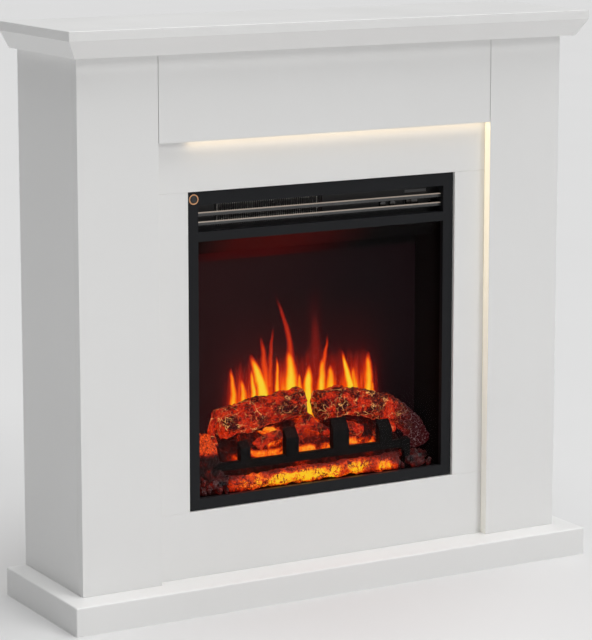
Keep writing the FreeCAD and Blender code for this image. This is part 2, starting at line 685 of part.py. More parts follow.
def heater():
    motor_left = HEATER_RIGHT + 3
    motor = rod(18, vec(motor_left, BLOWER_Y, BLOWER_Z), 34, AXIS_X)
    foot_left, foot_right, half = motor_left + 6, motor_left + 28, 14
    foot = block(foot_left, foot_right, BLOWER_Y - half, BLOWER_Y + half, DIVIDER + SHEET, BLOWER_Z - 10)
    bore = rod(BLOWER_SHAFT_R + RUNNING, vec(motor_left - 1, BLOWER_Y, BLOWER_Z), 12, AXIS_X)
    return {
        "outlet_guard": outlet_guard(),
        "heating_element": heating_element(),
        "blower_housing": blower_housing(),
        "blower_wheel": blower_wheel(),
        "blower_motor": joined([motor, foot]).cut(bore),
    }


# ---------------------------------------------------------------- flame effect

def flame_cut(x, half_width, height, lean):
    """A flame-shaped cutter through the mask: two bowed sides that meet in a point."""
    base, y = MASK_BASE + 8, MASK_FRONT - 1
    low_left, low_right = vec(x - half_width, y, base), vec(x + half_width, y, base)
    tip = vec(x + lean, y, base + height)
    left_bow = vec(x - half_width * 0.9 + lean * 0.2, y, base + height * 0.45)
    right_bow = vec(x + half_width * 0.75 + lean * 0.5, y, base + height * 0.5)
    outline = Part.Wire([
        Part.Arc(low_left, left_bow, tip).toShape(),
        Part.Arc(tip, right_bow, low_right).toShape(),
        Part.LineSegment(low_right, low_left).toShape(),
    ])
    return Part.Face(outline).extrude(vec(0, 4, 0))


def flame_mask():
    """The sheet behind the screen whose flame-shaped holes the moving light passes through."""
    plate = block(-MASK_HALF, MASK_HALF, MASK_FRONT, MASK_FRONT + MASK, MASK_BASE, MASK_TOP)
    count = 11
    cuts = []
    for i in range(count):
        x = (MASK_HALF - 30) * (2 * i / (count - 1) - 1)
        cuts.append(flame_cut(x, 11, 95 + 65 * sin(2.2 * i + 0.6), 9 * cos(1.7 * i)))
    return plate.cut(cuts)


def flame_spindle():
    """A rod with crossed mirror paddles along it, turned by the spindle motor."""
    shaft = rod(SPINDLE_R, vec(-211, SPINDLE_Y, SPINDLE_Z), 414, AXIS_X)
    centre = vec(0, SPINDLE_Y, SPINDLE_Z)
    paddles = []
    count, width, thick = 22, 11.0, 0.8
    for i in range(count):
        x = -192 + 17.2 * i
        paddle = block(x - width / 2, x + width / 2, SPINDLE_Y - thick / 2, SPINDLE_Y + thick / 2,
                       SPINDLE_Z - PADDLE_R, SPINDLE_Z + PADDLE_R)
        paddle.rotate(centre, AXIS_X, 50 * i)
        paddles.append(paddle)
    coupling = rod(5, vec(182, SPINDLE_Y, SPINDLE_Z), 9, AXIS_X)
    return joined([shaft, coupling] + paddles)


def spindle_bush():
    """The nylon bearing at the spindle's free end, on a foot."""
    x0, x1 = -214, -206
    foot = block(x0, x1, SPINDLE_Y - 7, SPINDLE_Y + 7, CASING_BASE + SHEET, SPINDLE_Z)
    boss = rod(7, vec(x0, SPINDLE_Y, SPINDLE_Z), x1 - x0, AXIS_X)
    bore = rod(SPINDLE_R + RUNNING, vec(x0 + 2, SPINDLE_Y, SPINDLE_Z), 20, AXIS_X)
    return joined([foot, boss]).cut(bore)


def spindle_motor():
    """The slow motor: a round can with two ears on a foot."""
    x0, x1 = 194, 212
    can = rod(16, vec(x0, SPINDLE_Y, SPINDLE_Z), x1 - x0, AXIS_X)
    ears = block(x0, x0 + 2, SPINDLE_Y - 5, SPINDLE_Y + 5, SPINDLE_Z - 22, SPINDLE_Z + 22)
    foot = block(x0, x0 + 2, SPINDLE_Y - 14, SPINDLE_Y + 14, CASING_BASE + SHEET, SPINDLE_Z)
    bore = rod(SPINDLE_R + RUNNING, vec(x0 - 1, SPINDLE_Y, SPINDLE_Z), 12, AXIS_X)
    ear_holes = [rod(1.8, vec(x0 - 1, SPINDLE_Y, SPINDLE_Z + side * 19.5), 4, AXIS_X) for side in (-1, 1)]
    return joined([can, ears, foot]).cut([bore] + ear_holes)


def ember_bed():
    """The hollow moulding of embers under the logs, with a bright roll along its front."""
    base, wall = FLOOR + SHEET, 4.0
    crest = [(-212, 232), (-160, 232), (-120, 222), (-20, 240), (20, 240), (60, 232), (120, 236), (150, 215),
             (185, 185), (212, 172)]

    def mound(y0, y1, drop, foot):
        outline = [(x, z - drop) for x, z in crest] + [(crest[-1][0], foot), (crest[0][0], foot)]
        points = [vec(x, y0, z) for x, z in outline]
        return Part.Face(Part.makePolygon(points + points[:1])).extrude(vec(0, y1 - y0, 0))

    shell = mound(BED_FRONT, BED_BACK, 0, base)
    hollow = mound(BED_FRONT + wall, BED_BACK - wall, wall, base - 1)
    shell = shell.cut(hollow.common(block(-212 + wall, 212 - wall, BED_FRONT, BED_BACK, base - 1, 300)))
    roll_left, roll_length, roll_r = -160, 312, 12
    roll = rod(roll_r, vec(roll_left, GRATE_FRONT, base + roll_r + 4), roll_length, AXIS_X)
    link = block(roll_left, roll_left + roll_length, GRATE_FRONT, BED_FRONT + 1, base, base + 10)
    return joined([shell, roll, link])


def log(points):
    """A round log along a bent centre line, its knees filled out."""
    spans = [Part.makeCylinder(LOG_R, b.sub(a).Length, a, b.sub(a)) for a, b in zip(points, points[1:])]
    knees = [Part.makeSphere(LOG_R, p) for p in points[1:-1]]
    return joined(spans + knees)


def grate():
    """A black cast bar on two legs, with four upright stubs that hold the logs back."""
    y0, y1 = GRATE_FRONT, GRATE_FRONT + GRATE_DEPTH
    floor, low, high = FLOOR + SHEET, 194.0, 207.0
    left, right, leg = -182, 170, 7
    pieces = [block(left, right, y0, y1, low, high)]
    pieces += [block(x - leg, x + leg, y0, y1, floor, high) for x in (left, right)]
    stubs = ((-121, 19, 237), (-40, 23, 250), (49, 28, 254), (132, 24, 243))
    pieces += [block(x - width / 2, x + width / 2, y0, y1, low, top) for x, width, top in stubs]
    return joined(pieces)


def screen_sheet(low):
    """The smoked sheet that the flames show on."""
    return block(-SCREEN_HALF, SCREEN_HALF, SCREEN_FRONT, SCREEN_FRONT + SCREEN, low, SCREEN_TOP)


def flame_effect():
    circuit = 1.6
    casing_floor, liner_floor = CASING_BASE + SHEET, FLOOR + SHEET
    light_boards = [
        block(-190, 188, SPINDLE_Y - 9, SPINDLE_Y + 9, casing_floor, casing_floor + circuit),
        block(-180, 180, BED_FRONT + 14, BED_FRONT + 26, liner_floor, liner_floor + circuit),
    ]
    return {
        "flame_screen": screen_sheet(liner_floor),
        "flame_mask": flame_mask(),
        "flame_spindle": flame_spindle(),
        "spindle_bush": spindle_bush(),
        "spindle_motor": spindle_motor(),
        "light_boards": light_boards,
        "ember_bed": ember_bed(),
        "left_log": log([vec(-158, FACE + 80, 257), vec(-8, FACE + 82, 285)]),
        "right_log": log([vec(30, FACE + 82, 262), vec(110, FACE + 82, 268), vec(165, FACE + 81, 250),
                          vec(205, FACE + 80, 205)]),
        "grate": grate(),
    }


def main():
    nodes = {}
    for group in (surround(), light_strip(), {"led_driver": led_driver()}, firebox(), controls(), heater(),
                  flame_effect()):
        nodes.update(group)
    os.makedirs("parts", exist_ok=True)
    for name, made in sorted(nodes.items()):
        shape = Part.makeCompound(made) if isinstance(made, list) else made
        shape.exportStep("parts/" + name + ".step")
        print(f"{name:22s} solids {len(shape.Solids):2d} valid {shape.isValid()}")
    print(len(nodes), "nodes")


main()
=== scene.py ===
import json
import math

import bmesh
import bpy
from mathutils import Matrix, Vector, noise

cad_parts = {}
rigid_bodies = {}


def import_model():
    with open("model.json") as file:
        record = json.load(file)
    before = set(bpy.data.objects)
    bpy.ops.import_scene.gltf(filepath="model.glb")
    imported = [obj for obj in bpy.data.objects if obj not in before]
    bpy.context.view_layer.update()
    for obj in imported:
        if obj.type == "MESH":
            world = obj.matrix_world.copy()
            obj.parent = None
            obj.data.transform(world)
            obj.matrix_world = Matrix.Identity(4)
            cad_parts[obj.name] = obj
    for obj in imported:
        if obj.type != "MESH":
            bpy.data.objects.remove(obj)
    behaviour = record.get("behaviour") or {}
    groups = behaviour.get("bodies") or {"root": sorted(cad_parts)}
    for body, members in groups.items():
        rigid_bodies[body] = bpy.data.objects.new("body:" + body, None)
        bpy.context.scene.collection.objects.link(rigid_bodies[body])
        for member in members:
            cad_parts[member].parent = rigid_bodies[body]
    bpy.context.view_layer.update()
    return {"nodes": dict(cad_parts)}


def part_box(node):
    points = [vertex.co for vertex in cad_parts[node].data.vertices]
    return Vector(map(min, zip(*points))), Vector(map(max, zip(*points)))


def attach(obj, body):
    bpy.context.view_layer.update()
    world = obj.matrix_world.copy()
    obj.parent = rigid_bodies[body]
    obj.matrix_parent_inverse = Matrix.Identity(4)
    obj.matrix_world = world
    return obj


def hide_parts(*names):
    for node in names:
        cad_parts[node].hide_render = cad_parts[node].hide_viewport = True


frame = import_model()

# ---------------------------------------------------------------- white boards
# The surround: fibreboard sawn to size, its fronts, ends and edges sprayed with satin white lacquer and
# rubbed down, its backs left bare. Mitred plinth and crown boards, flat boards with eased edges.


class Wire:
    """One output of a node, which sums can be written with."""

    def __init__(self, bench, socket):
        self.bench = bench
        self.socket = socket

    def math(self, operation, *terms):
        return self.bench.add("ShaderNodeMath", {"operation": operation}, dict(enumerate(terms)))

    def __add__(self, other):
        return self.math("ADD", self, other)

    def __radd__(self, other):
        return self.math("ADD", other, self)

    def __sub__(self, other):
        return self.math("SUBTRACT", self, other)

    def __rsub__(self, other):
        return self.math("SUBTRACT", other, self)

    def __mul__(self, other):
        return self.math("MULTIPLY", self, other)

    def __rmul__(self, other):
        return self.math("MULTIPLY", other, self)

    def __truediv__(self, other):
        return self.math("DIVIDE", self, other)

    def __rtruediv__(self, other):
        return self.math("DIVIDE", other, self)

    def __pow__(self, other):
        return self.math("POWER", self, other)

    def __rpow__(self, other):
        return self.math("POWER", other, self)

    def __abs__(self):
        return self.math("ABSOLUTE", self)

    def most(self, other):
        return self.math("MAXIMUM", self, other)

    def least(self, other):
        return self.math("MINIMUM", self, other)

    def over(self, limit):
        return self.math("GREATER_THAN", self, limit)

    def wave(self, length, kind="SINE"):
        return self.math(kind, self * (2 * math.pi / length))

    def rise(self, low, high):
        """0 below low, 1 above high and a smooth step between; high may be the smaller one."""
        limits = {"Value": self, "From Min": low, "From Max": high}
        return self.bench.add("ShaderNodeMapRange", {"interpolation_type": "SMOOTHSTEP"}, limits)


class Bench:
    """A node tree being put together; add() puts any node on it."""

    def __init__(self, tree):
        self.tree = tree
        tree.nodes.clear()

    def add(self, kind, settings=None, sockets=None, out=0):
        node = self.tree.nodes.new(kind)
        for name, value in (settings or {}).items():
            if name == "stops":
                self.set_stops(node.color_ramp.elements, value)
            else:
                setattr(node, name, value)
        for name, value in (sockets or {}).items():
            for one in value if isinstance(value, list) else [value]:
                if isinstance(one, Wire):
                    self.tree.links.new(one.socket, node.inputs[name])
                else:
                    node.inputs[name].default_value = one
        return Wire(self, node.outputs[out]) if node.outputs else None

    @staticmethod
    def set_stops(elements, stops):
        for i, (place, colour) in enumerate(stops):
            stop = elements[i] if i < 2 else elements.new(place)
            stop.position = place
            stop.color = (*colour, 1)


class Finish(Bench):
    """A material: patterns on Object coordinates that feed one Principled surface."""

    def __init__(self, name):
        self.material = bpy.data.materials.new(name)
        self.material.use_nodes = True
        super().__init__(self.material.node_tree)
        self.place = self.add("ShaderNodeTexCoord", out="Object")

    def stretched(self, x, y, z):
        """The object's place, scaled apart along each axis."""
        return self.add("ShaderNodeVectorMath", {"operation": "MULTIPLY"}, {0: self.place, 1: (x, y, z)})

    def grain(self, scale, detail=2.0, at=None, harsh=0.5):
        """Noise from 0 to 1 with features about 1/scale metres wide."""
        sockets = {"Vector": at or self.place, "Scale": scale, "Detail": detail, "Roughness": harsh}
        return self.add("ShaderNodeTexNoise", {}, sockets, "Fac")

    def cells(self, scale, feature="F1", at=None):
        sockets = {"Vector": at or self.place, "Scale": scale}
        return self.add("ShaderNodeTexVoronoi", {"feature": feature}, sockets, "Distance")

    def bent(self, scale, amount):
        """The object's place, pushed about by noise."""
        sockets = {"Vector": self.place, "Scale": scale, "Detail": 2.0}
        push = self.add("ShaderNodeTexNoise", {}, sockets, "Color")
        return self.add("ShaderNodeVectorMath", {"operation": "MULTIPLY_ADD"},
                        {0: push, 1: (amount, amount, amount), 2: self.place})

    def veins(self, scale, width, at):
        """1 along the lines of an uneven net, 0 between them."""
        return self.cells(scale, "DISTANCE_TO_EDGE", at).rise(width, width * 0.25)

    def ramp(self, factor, *stops):
        return self.add("ShaderNodeValToRGB", {"stops": stops}, {"Fac": factor}, "Color")

    def blend(self, first, second, share):
        """The first colour going over to the second."""
        ends = [colour if isinstance(colour, Wire) else (*colour, 1) for colour in (first, second)]
        return self.add("ShaderNodeMix", {"data_type": "RGBA"}, {0: share, 6: ends[0], 7: ends[1]}, 2)

    def axis(self, name, of=None):
        return self.add("ShaderNodeSeparateXYZ", {}, {0: of or self.place}, name)

    def facing(self, name):
        """How far the surface faces along one axis, from -1 to 1."""
        return self.axis(name, self.add("ShaderNodeTexCoord", out="Normal"))

    def bump(self, height, depth, strength=1.0):
        return self.add("ShaderNodeBump", {}, {"Height": height, "Distance": depth, "Strength": strength})

    def surface(self, **sockets):
        """Ends the material with a Principled surface; socket names are written with underscores."""
        if "Emission_Color" in sockets:
            sockets.setdefault("Emission_Strength", 1.0)
        named = {name.replace("_", " "): (*value, 1) if isinstance(value, tuple) else value
                 for name, value in sockets.items()}
        body = self.add("ShaderNodeBsdfPrincipled", {}, named)
        self.add("ShaderNodeOutputMaterial", {}, {"Surface": body})
        return self.material


def bare_fibre(finish):
    """The colour of sawn fibreboard: brown, mottled, with short pale fibres."""
    fibres = finish.grain(900, 4.0, finish.stretched(1.0, 2.2, 0.5))
    mottle = finish.grain(14, 3.0)
    return finish.blend((0.34, 0.235, 0.145), (0.56, 0.42, 0.28), fibres * 0.75 + mottle * 0.3)


def white_lacquer(name, strip_light=0.0):
    """Satin white on all but bare backs. Strip light is how much painted warm light is emitted on the edges
    that face left, standing for the light strip's light grazing them, fading downwards."""
    finish = Finish(name)
    cloud = finish.grain(5, 2.0)
    lacquer = finish.blend((0.795, 0.793, 0.785), (0.835, 0.834, 0.828), cloud)
    bare = finish.facing("Y").over(0.5)
    peel = finish.grain(520, 1.0) + finish.grain(60, 1.0) * 0.5
    sockets = {
        "Base_Color": finish.blend(lacquer, bare_fibre(finish), bare),
        "Roughness": 0.34 + cloud * 0.08 + bare * 0.4,
        "Normal": finish.bump(peel, 0.00012, 0.35),
    }
    if strip_light:
        # painted light: a warm glow emitted on the left-facing edges under the strip, for its light, fading
        # downwards
        below_strip = finish.axis("Z").rise(0.718, 0.713)
        painted_graze = finish.facing("X").rise(-0.55, -0.95) * below_strip * strip_light
        painted_graze_colour = finish.blend((0.17, 0.16, 0.12), (0.62, 0.50, 0.28), finish.axis("Z").rise(0.12, 0.76))
        sockets["Emission_Color"] = finish.blend((0.0, 0.0, 0.0), painted_graze_colour, painted_graze)
    return finish.surface(**sockets)


def coat(material, *names):
    """Gives CAD pieces that keep their own shape their material."""
    for name in names:
        for slot in frame["nodes"][name].material_slots:
            slot.material = material


white = white_lacquer("white_lacquer")
# the right pilaster's face carries painted strip light on its left-facing edge
coat(white_lacquer("lacquer_with_painted_strip_light", strip_light=1.0), "right_pilaster_face")
coat(white, "top_board", "crown_front", "crown_left", "crown_right", "header_board",
     "left_pilaster_face", "left_side_panel", "right_side_panel",
     "inner_top_rail", "inner_bottom_rail", "inner_left_stile", "inner_right_stile",
     "plinth_top", "plinth_front", "plinth_left", "plinth_right")

# ---------------------------------------------------------------- bare boards behind
# The rails, ribs, blocks, pilaster returns and the firebox shelf are raw fibreboard. Thin hardboard closes
# the pilasters, with the woven print of its press screen outwards.


def raw_fibreboard():
    finish = Finish("raw_fibreboard")
    return finish.surface(
        Base_Color=bare_fibre(finish),
        Roughness=0.82,
        Normal=finish.bump(finish.grain(1500, 3.0), 0.0002, 0.5),
    )


def screen_back_hardboard(pitch=0.0016):
    finish = Finish("screen_back_hardboard")
    weave = finish.axis("X").wave(pitch) * finish.axis("Z").wave(pitch)
    tone = finish.grain(9, 4.0) * 0.7 + finish.grain(700, 2.0) * 0.3
    return finish.surface(
        Base_Color=finish.blend((0.20, 0.115, 0.06), (0.33, 0.205, 0.12), tone),
        Roughness=0.75,
        Normal=finish.bump(weave, 0.0002, 0.6),
    )


coat(raw_fibreboard(), "pilaster_returns", "inner_cleats", "insert_shelf")
coat(screen_back_hardboard(), "pilaster_backs")

# ---------------------------------------------------------------- screws and wall brackets
# Zinc-plated cross-head screws: countersunk wood screws through the rear rails, and pan heads round the
# firebox's rear cover. The brackets are bent from zinc-plated strip and hang the top to the wall.


class Jig(Bench):
    """A Geometry Nodes tree with named sizes, which is run once and leaves a plain mesh."""

    def __init__(self, name, sizes):
        self.group = bpy.data.node_groups.new(name, "GeometryNodeTree")
        super().__init__(self.group)
        self.sizes = sizes
        self.ids = {}
        panel = self.group.interface
        panel.new_socket("Geometry", in_out="OUTPUT", socket_type="NodeSocketGeometry")
        panel.new_socket("Geometry", in_out="INPUT", socket_type="NodeSocketGeometry")
        for label, value in sizes.items():
            kind = {int: "Int", float: "Float"}.get(type(value), "Vector")
            made = panel.new_socket(label, in_out="INPUT", socket_type="NodeSocket" + kind)
            self.ids[label] = made.identifier
        entry = self.tree.nodes.new("NodeGroupInput")
        self.start = Wire(self, entry.outputs["Geometry"])
        self.size = {label: Wire(self, entry.outputs[label]) for label in sizes}

    def vector(self, x, y, z):
        return self.add("ShaderNodeCombineXYZ", {}, {"X": x, "Y": y, "Z": z})

    def moved(self, shape, by=(0, 0, 0), turned=(0, 0, 0), scaled=(1, 1, 1)):
        return self.add("GeometryNodeTransform", {},
                        {"Geometry": shape, "Translation": by, "Rotation": turned, "Scale": scaled})

    def repeated(self, points, shape, turned=(0, 0, 0), scaled=(1, 1, 1)):
        return self.add("GeometryNodeInstanceOnPoints", {},
                        {"Points": points, "Instance": shape, "Rotation": turned, "Scale": scaled})

    def join(self, *shapes):
        return self.add("GeometryNodeJoinGeometry", {}, {"Geometry": list(reversed(shapes))})

    def row(self, count, first, step):
        sockets = {"Count": count, "Start Location": first, "Offset": step}
        return self.add("GeometryNodeMeshLine", {}, sockets)

    def chance(self, low, high, seed):
        """A random number for each thing, the same on every run."""
        limits = {2: low, 3: high, "Seed": seed}
        return self.add("FunctionNodeRandomValue", {"data_type": "FLOAT"}, limits, 1)

    def made(self, name, shape, material, start=None):
        """Ends the tree, runs it and returns the finished object, with the tree taken off."""
        whole = self.add("GeometryNodeRealizeInstances", {}, {"Geometry": shape})
        coated = self.add("GeometryNodeSetMaterial", {}, {"Geometry": whole, "Material": material})
        self.add("NodeGroupOutput", {}, {"Geometry": coated})
        holder = bpy.data.objects.new(name + "_jig", start or bpy.data.meshes.new(name + "_start"))
        bpy.context.scene.collection.objects.link(holder)
        modifier = holder.modifiers.new("jig", "NODES")
        modifier.node_group = self.group
        for label, value in self.sizes.items():
            modifier[self.ids[label]] = value
        ready = holder.evaluated_get(bpy.context.evaluated_depsgraph_get())
        mesh = bpy.data.meshes.new_from_object(ready)
        bpy.data.objects.remove(holder)
        return stood(name, mesh)


def stood(name, mesh):
    """An object for a finished mesh, a lamp or a camera, at the origin."""
    thing = bpy.data.objects.new(name, mesh)
    bpy.context.scene.collection.objects.link(thing)
    return thing


def fixed(thing, slot, *nodes, body="fireplace"):
    """Fastens a piece to its body and says which CAD pieces it stands for; the finish's name in slot is not
    used.
    """
    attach(thing, body)
    if nodes:
        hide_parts(*nodes)
    return thing


def points_mesh(name, places):
    mesh = bpy.data.meshes.new(name)
    mesh.from_pydata(places, [], [])
    return mesh


def metal(name, dark, pale, scale, rough, swing=0.2, detail=3.0, drawn=1.0, shine=1.0, pits=0.0):
    """Bare or plated metal, mottled in its colour and its gloss. Drawn under 1 draws the mottle out along X,
    and pits is how deep its fine pitting is."""
    finish = Finish(name)
    mottle = finish.grain(scale, detail, finish.stretched(drawn, 1.0, 1.0))
    relief = {"Normal": finish.bump(finish.grain(2200, 2.0), pits, 0.4)} if pits else {}
    return finish.surface(
        Base_Color=finish.blend(dark, pale, mottle),
        Metallic=shine,
        Roughness=rough + mottle * swing,
        **relief,
    )


def cross_heads(name, places, material, head_radius, head_height, shank_radius, shank_length):
    """Cross-head screws facing backwards, one at each place on the face that they clamp."""
    jig = Jig(name, {"Head radius": head_radius, "Head height": head_height,
                     "Shank radius": shank_radius, "Shank length": shank_length})
    radius, height = jig.size["Head radius"], jig.size["Head height"]
    dome = jig.add("GeometryNodeMeshUVSphere", {}, {"Segments": 24, "Rings": 12, "Radius": radius})
    dome = jig.moved(dome, scaled=jig.vector(1.0, 1.0, height / radius))
    below = jig.add("GeometryNodeMeshCube", {}, {"Size": jig.vector(radius * 3, radius * 3, height * 4)})
    below = jig.moved(below, by=jig.vector(0.0, 0.0, height * -2))
    slots = []
    for turn in (0.0, math.pi / 2):
        cut = jig.vector(radius * 1.15, radius * 0.24, height)
        slot = jig.add("GeometryNodeMeshCube", {}, {"Size": cut})
        slots.append(jig.moved(slot, by=jig.vector(0.0, 0.0, height * 0.85), turned=(0, 0, turn)))
    head = jig.add("GeometryNodeMeshBoolean", {"operation": "DIFFERENCE"}, {0: dome, 1: [below] + slots})
    length = jig.size["Shank length"]
    shank = jig.add("GeometryNodeMeshCylinder", {},
                    {"Vertices": 16, "Radius": jig.size["Shank radius"], "Depth": length})
    screw = jig.join(head, jig.moved(shank, by=jig.vector(0.0, 0.0, length * -0.5)))
    facing_back = jig.moved(screw, turned=(-math.pi / 2, 0, 0))
    spots = jig.repeated(jig.start, facing_back)
    return jig.made(name, spots, material, points_mesh(name + "_places", places))


zinc = metal("zinc_plate", (0.50, 0.50, 0.49), (0.68, 0.67, 0.63), 160, 0.28, pits=0.00005)
coat(zinc, "wall_brackets")

wood_head, wood_dome = 0.0038, 0.0011
screw_low, screw_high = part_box("surround_screws")
rail_xs = (screw_low.x + wood_head, screw_high.x - wood_head)
rail_zs = (0.059, 0.079, 0.785, 0.815)
wood_places = [(x, screw_high.y - wood_dome, z) for x in rail_xs for z in rail_zs]
fixed(cross_heads("rail_screws", wood_places, zinc, wood_head, wood_dome, 0.0019, 0.036),
      "screw_steel", "surround_screws")

pan_head, pan_dome = 0.0036, 0.0022
cover_low, cover_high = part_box("casing_screws")
plate_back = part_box("casing_back")[1].y
left_x, right_x = cover_low.x + pan_head, cover_high.x - pan_head
foot_z, head_z = cover_low.z + pan_head, cover_high.z - pan_head
edge_zs = (foot_z, 0.275, 0.395, 0.515, head_z)
cover_places = [(x, plate_back, z) for x in (left_x, right_x) for z in edge_zs]
cover_places += [(x, plate_back, z) for x in (-0.075, 0.075) for z in (foot_z, head_z)]
fixed(cross_heads("cover_screws", cover_places, zinc, pan_head, pan_dome, 0.0018, 0.0050),
      "screw_steel", "casing_screws")

# ---------------------------------------------------------------- light strip under the header
# An anodised channel pressed into the header's groove, with a white tape of warm chips on its bed and a
# milky diffuser snapped into its mouth. The driver is a grained black box behind the upper rail.


def anodised():
    finish = Finish("anodised_channel")
    drawn = finish.grain(900, 2.0, finish.stretched(0.03, 1.0, 1.0))
    return finish.surface(
        Base_Color=finish.blend((0.60, 0.60, 0.61), (0.74, 0.74, 0.75), drawn),
        Metallic=1.0,
        Roughness=0.32 + drawn * 0.12,
        Normal=finish.bump(drawn, 0.00003, 0.5),
    )


def milky_diffuser(pitch):
    """A faint brighter spot shows through it over each chip."""
    finish = Finish("milky_diffuser")
    spot = finish.axis("X").wave(pitch, "COSINE")
    glow = finish.blend((1.0, 0.72, 0.40), (1.0, 0.80, 0.50), spot * 0.5 + 0.5)
    return finish.surface(
        Base_Color=(0.9, 0.86, 0.78),
        Roughness=0.45 + finish.grain(300, 1.0) * 0.1,
        Emission_Color=glow,
        Emission_Strength=2.4,
    )


def tape_print():
    finish = Finish("tape_print")
    pads = finish.cells(320, at=finish.stretched(1.0, 1.0, 0.2)).over(0.62)
    return finish.surface(
        Base_Color=finish.blend((0.83, 0.82, 0.78), (0.80, 0.52, 0.30), pads),
        Roughness=0.4,
    )


def phosphor():
    finish = Finish("chip_phosphor")
    return finish.surface(
        Base_Color=finish.blend((0.92, 0.75, 0.25), (0.95, 0.82, 0.40), finish.grain(2500)),
        Roughness=0.3,
        Emission_Color=(1.0, 0.78, 0.45),
        Emission_Strength=2.0,
    )


def black_moulding():
    finish = Finish("black_moulding")
    leather = finish.cells(1400) + finish.grain(500, 2.0) * 0.4
    return finish.surface(
        Base_Color=finish.blend((0.016, 0.016, 0.017), (0.030, 0.030, 0.031), finish.grain(40, 3.0)),
        Roughness=0.48 + finish.grain(90, 2.0) * 0.14,
        Normal=finish.bump(leather, 0.00008, 0.5),
    )


chip_pitch = 0.0166
tape_low, tape_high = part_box("led_tape")
coat(anodised(), "led_channel")
coat(milky_diffuser(chip_pitch), "led_diffuser")
coat(tape_print(), "led_tape")
black_plastic = black_moulding()
coat(black_plastic, "led_driver", "cord_gland", "spindle_bush", "rocker_housing")

chip_size = (0.0035, 0.0028, 0.0007)
chip_jig = Jig("strip_chips", {"Chips": int((tape_high.x - tape_low.x) / chip_pitch), "Pitch": chip_pitch,
                               "Chip": chip_size})
chip = chip_jig.add("GeometryNodeMeshCube", {}, {"Size": chip_jig.size["Chip"]})
chip_start = (tape_low.x + chip_pitch / 2, (tape_low.y + tape_high.y) / 2, tape_low.z - chip_size[2] / 2)
chips = chip_jig.row(chip_jig.size["Chips"], chip_start, chip_jig.vector(chip_jig.size["Pitch"], 0.0, 0.0))
fixed(chip_jig.made("strip_chips", chip_jig.repeated(chips, chip), phosphor()), "strip_tape")

# ---------------------------------------------------------------- firebox casing
# Folded sheet steel, dipped black: a wrap with flanges, a rear cover with air slots, and inside it the liner
# and the hood, sprayed with matt heat paint. The hood also carries painted red light from the embers.


def dipped_sheet():
    finish = Finish("dipped_sheet")
    cloud = finish.grain(18, 4.0)
    return finish.surface(
        Base_Color=finish.blend((0.022, 0.022, 0.023), (0.040, 0.040, 0.041), cloud),
        Roughness=0.42 + cloud * 0.2,
        Normal=finish.bump(finish.grain(700, 3.0), 0.00008, 0.4),
    )


def matt_heat_paint(name, glow=0.0):
    """Soot-black paint. Glow is how much painted red light is emitted on it for the embers' light, most on
    the left.
    """
    finish = Finish(name)
    cloud = finish.grain(25, 3.0)
    x = finish.axis("X")
    # painted light: a red glow standing for the embers' light, strongest on the left
    painted_ember_light = x.rise(-0.215, -0.120) * x.rise(0.120, -0.060) * (cloud * 0.6 + 0.5)
    return finish.surface(
        Base_Color=finish.blend((0.0018, 0.0016, 0.0017), (0.0042, 0.0038, 0.0038), cloud),
        Roughness=0.55 + cloud * 0.15,
        Specular_IOR_Level=0.04,
        Emission_Color=finish.blend((0.0, 0.0, 0.0), (0.050, 0.0003, 0.0003), painted_ember_light * glow),
        Normal=finish.bump(finish.grain(1600, 2.0), 0.00006, 0.5),
    )


coat(dipped_sheet(), "casing_wrap", "casing_back")
coat(matt_heat_paint("matt_heat_paint"), "firebox_liner")
coat(matt_heat_paint("hood_heat_paint_painted_glow", glow=1.0), "firebox_hood")

# ---------------------------------------------------------------- front frame, slats and glass
# The frame is pressed steel in a fine satin black powder coat, and so are the two slats, a little glossier,
# with a highlight painted along their tops for the light strip's light. A copper ring in a dark disc sits in
# the frame's corner. The glass is clear and toughened.


def powder_coat(name, low, high, rough, specular):
    finish = Finish(name)
    fleck = finish.grain(1300, 2.0)
    return finish.surface(
        Base_Color=finish.blend(low, high, finish.grain(30, 3.0) * 0.6 + fleck * 0.4),
        Roughness=rough + fleck * 0.14,
        Specular_IOR_Level=specular,
        Normal=finish.bump(fleck, 0.0001, 0.5),
    )


def slat_metal_painted_highlight():
    """Dark satin metal, with a highlight painted along the slats' tops for the light strip's light grazing
    them.
    """
    finish = Finish("slat_metal_painted_highlight")
    drawn = finish.grain(260, 3.0, finish.stretched(0.05, 1.0, 1.0))
    # painted highlight: the faces turned up glow faintly, for the strip's light above
    tops = finish.facing("Z").rise(0.25, 0.8) * (drawn * 0.5 + 0.6)
    return finish.surface(
        Base_Color=finish.blend((0.030, 0.030, 0.031), (0.060, 0.060, 0.061), drawn),
        Roughness=0.20 + drawn * 0.12,
        Emission_Color=finish.blend((0.0, 0.0, 0.0), (0.40, 0.33, 0.27), tops),
        Normal=finish.bump(drawn, 0.00004, 0.5),
    )


def clear_glass():
    """See-through, with a weak mirror over it that grows towards grazing angles."""
    finish = Finish("clear_glass")
    bright = finish.add("ShaderNodeBsdfTransparent", {}, {"Color": (0.95, 0.955, 0.955, 1)})
    mirror = {"Base Color": (0.9, 0.92, 0.92, 1), "Metallic": 1.0, "Roughness": 0.03}
    gloss = finish.add("ShaderNodeBsdfPrincipled", {}, mirror)
    share = finish.add("ShaderNodeFresnel", {}, {"IOR": 1.2}) * (0.12 + finish.grain(6, 2.0) * 0.1)
    sheet = finish.add("ShaderNodeMixShader", {}, {0: share, 1: bright, 2: gloss})
    finish.add("ShaderNodeOutputMaterial", {}, {"Surface": sheet})
    return finish.material


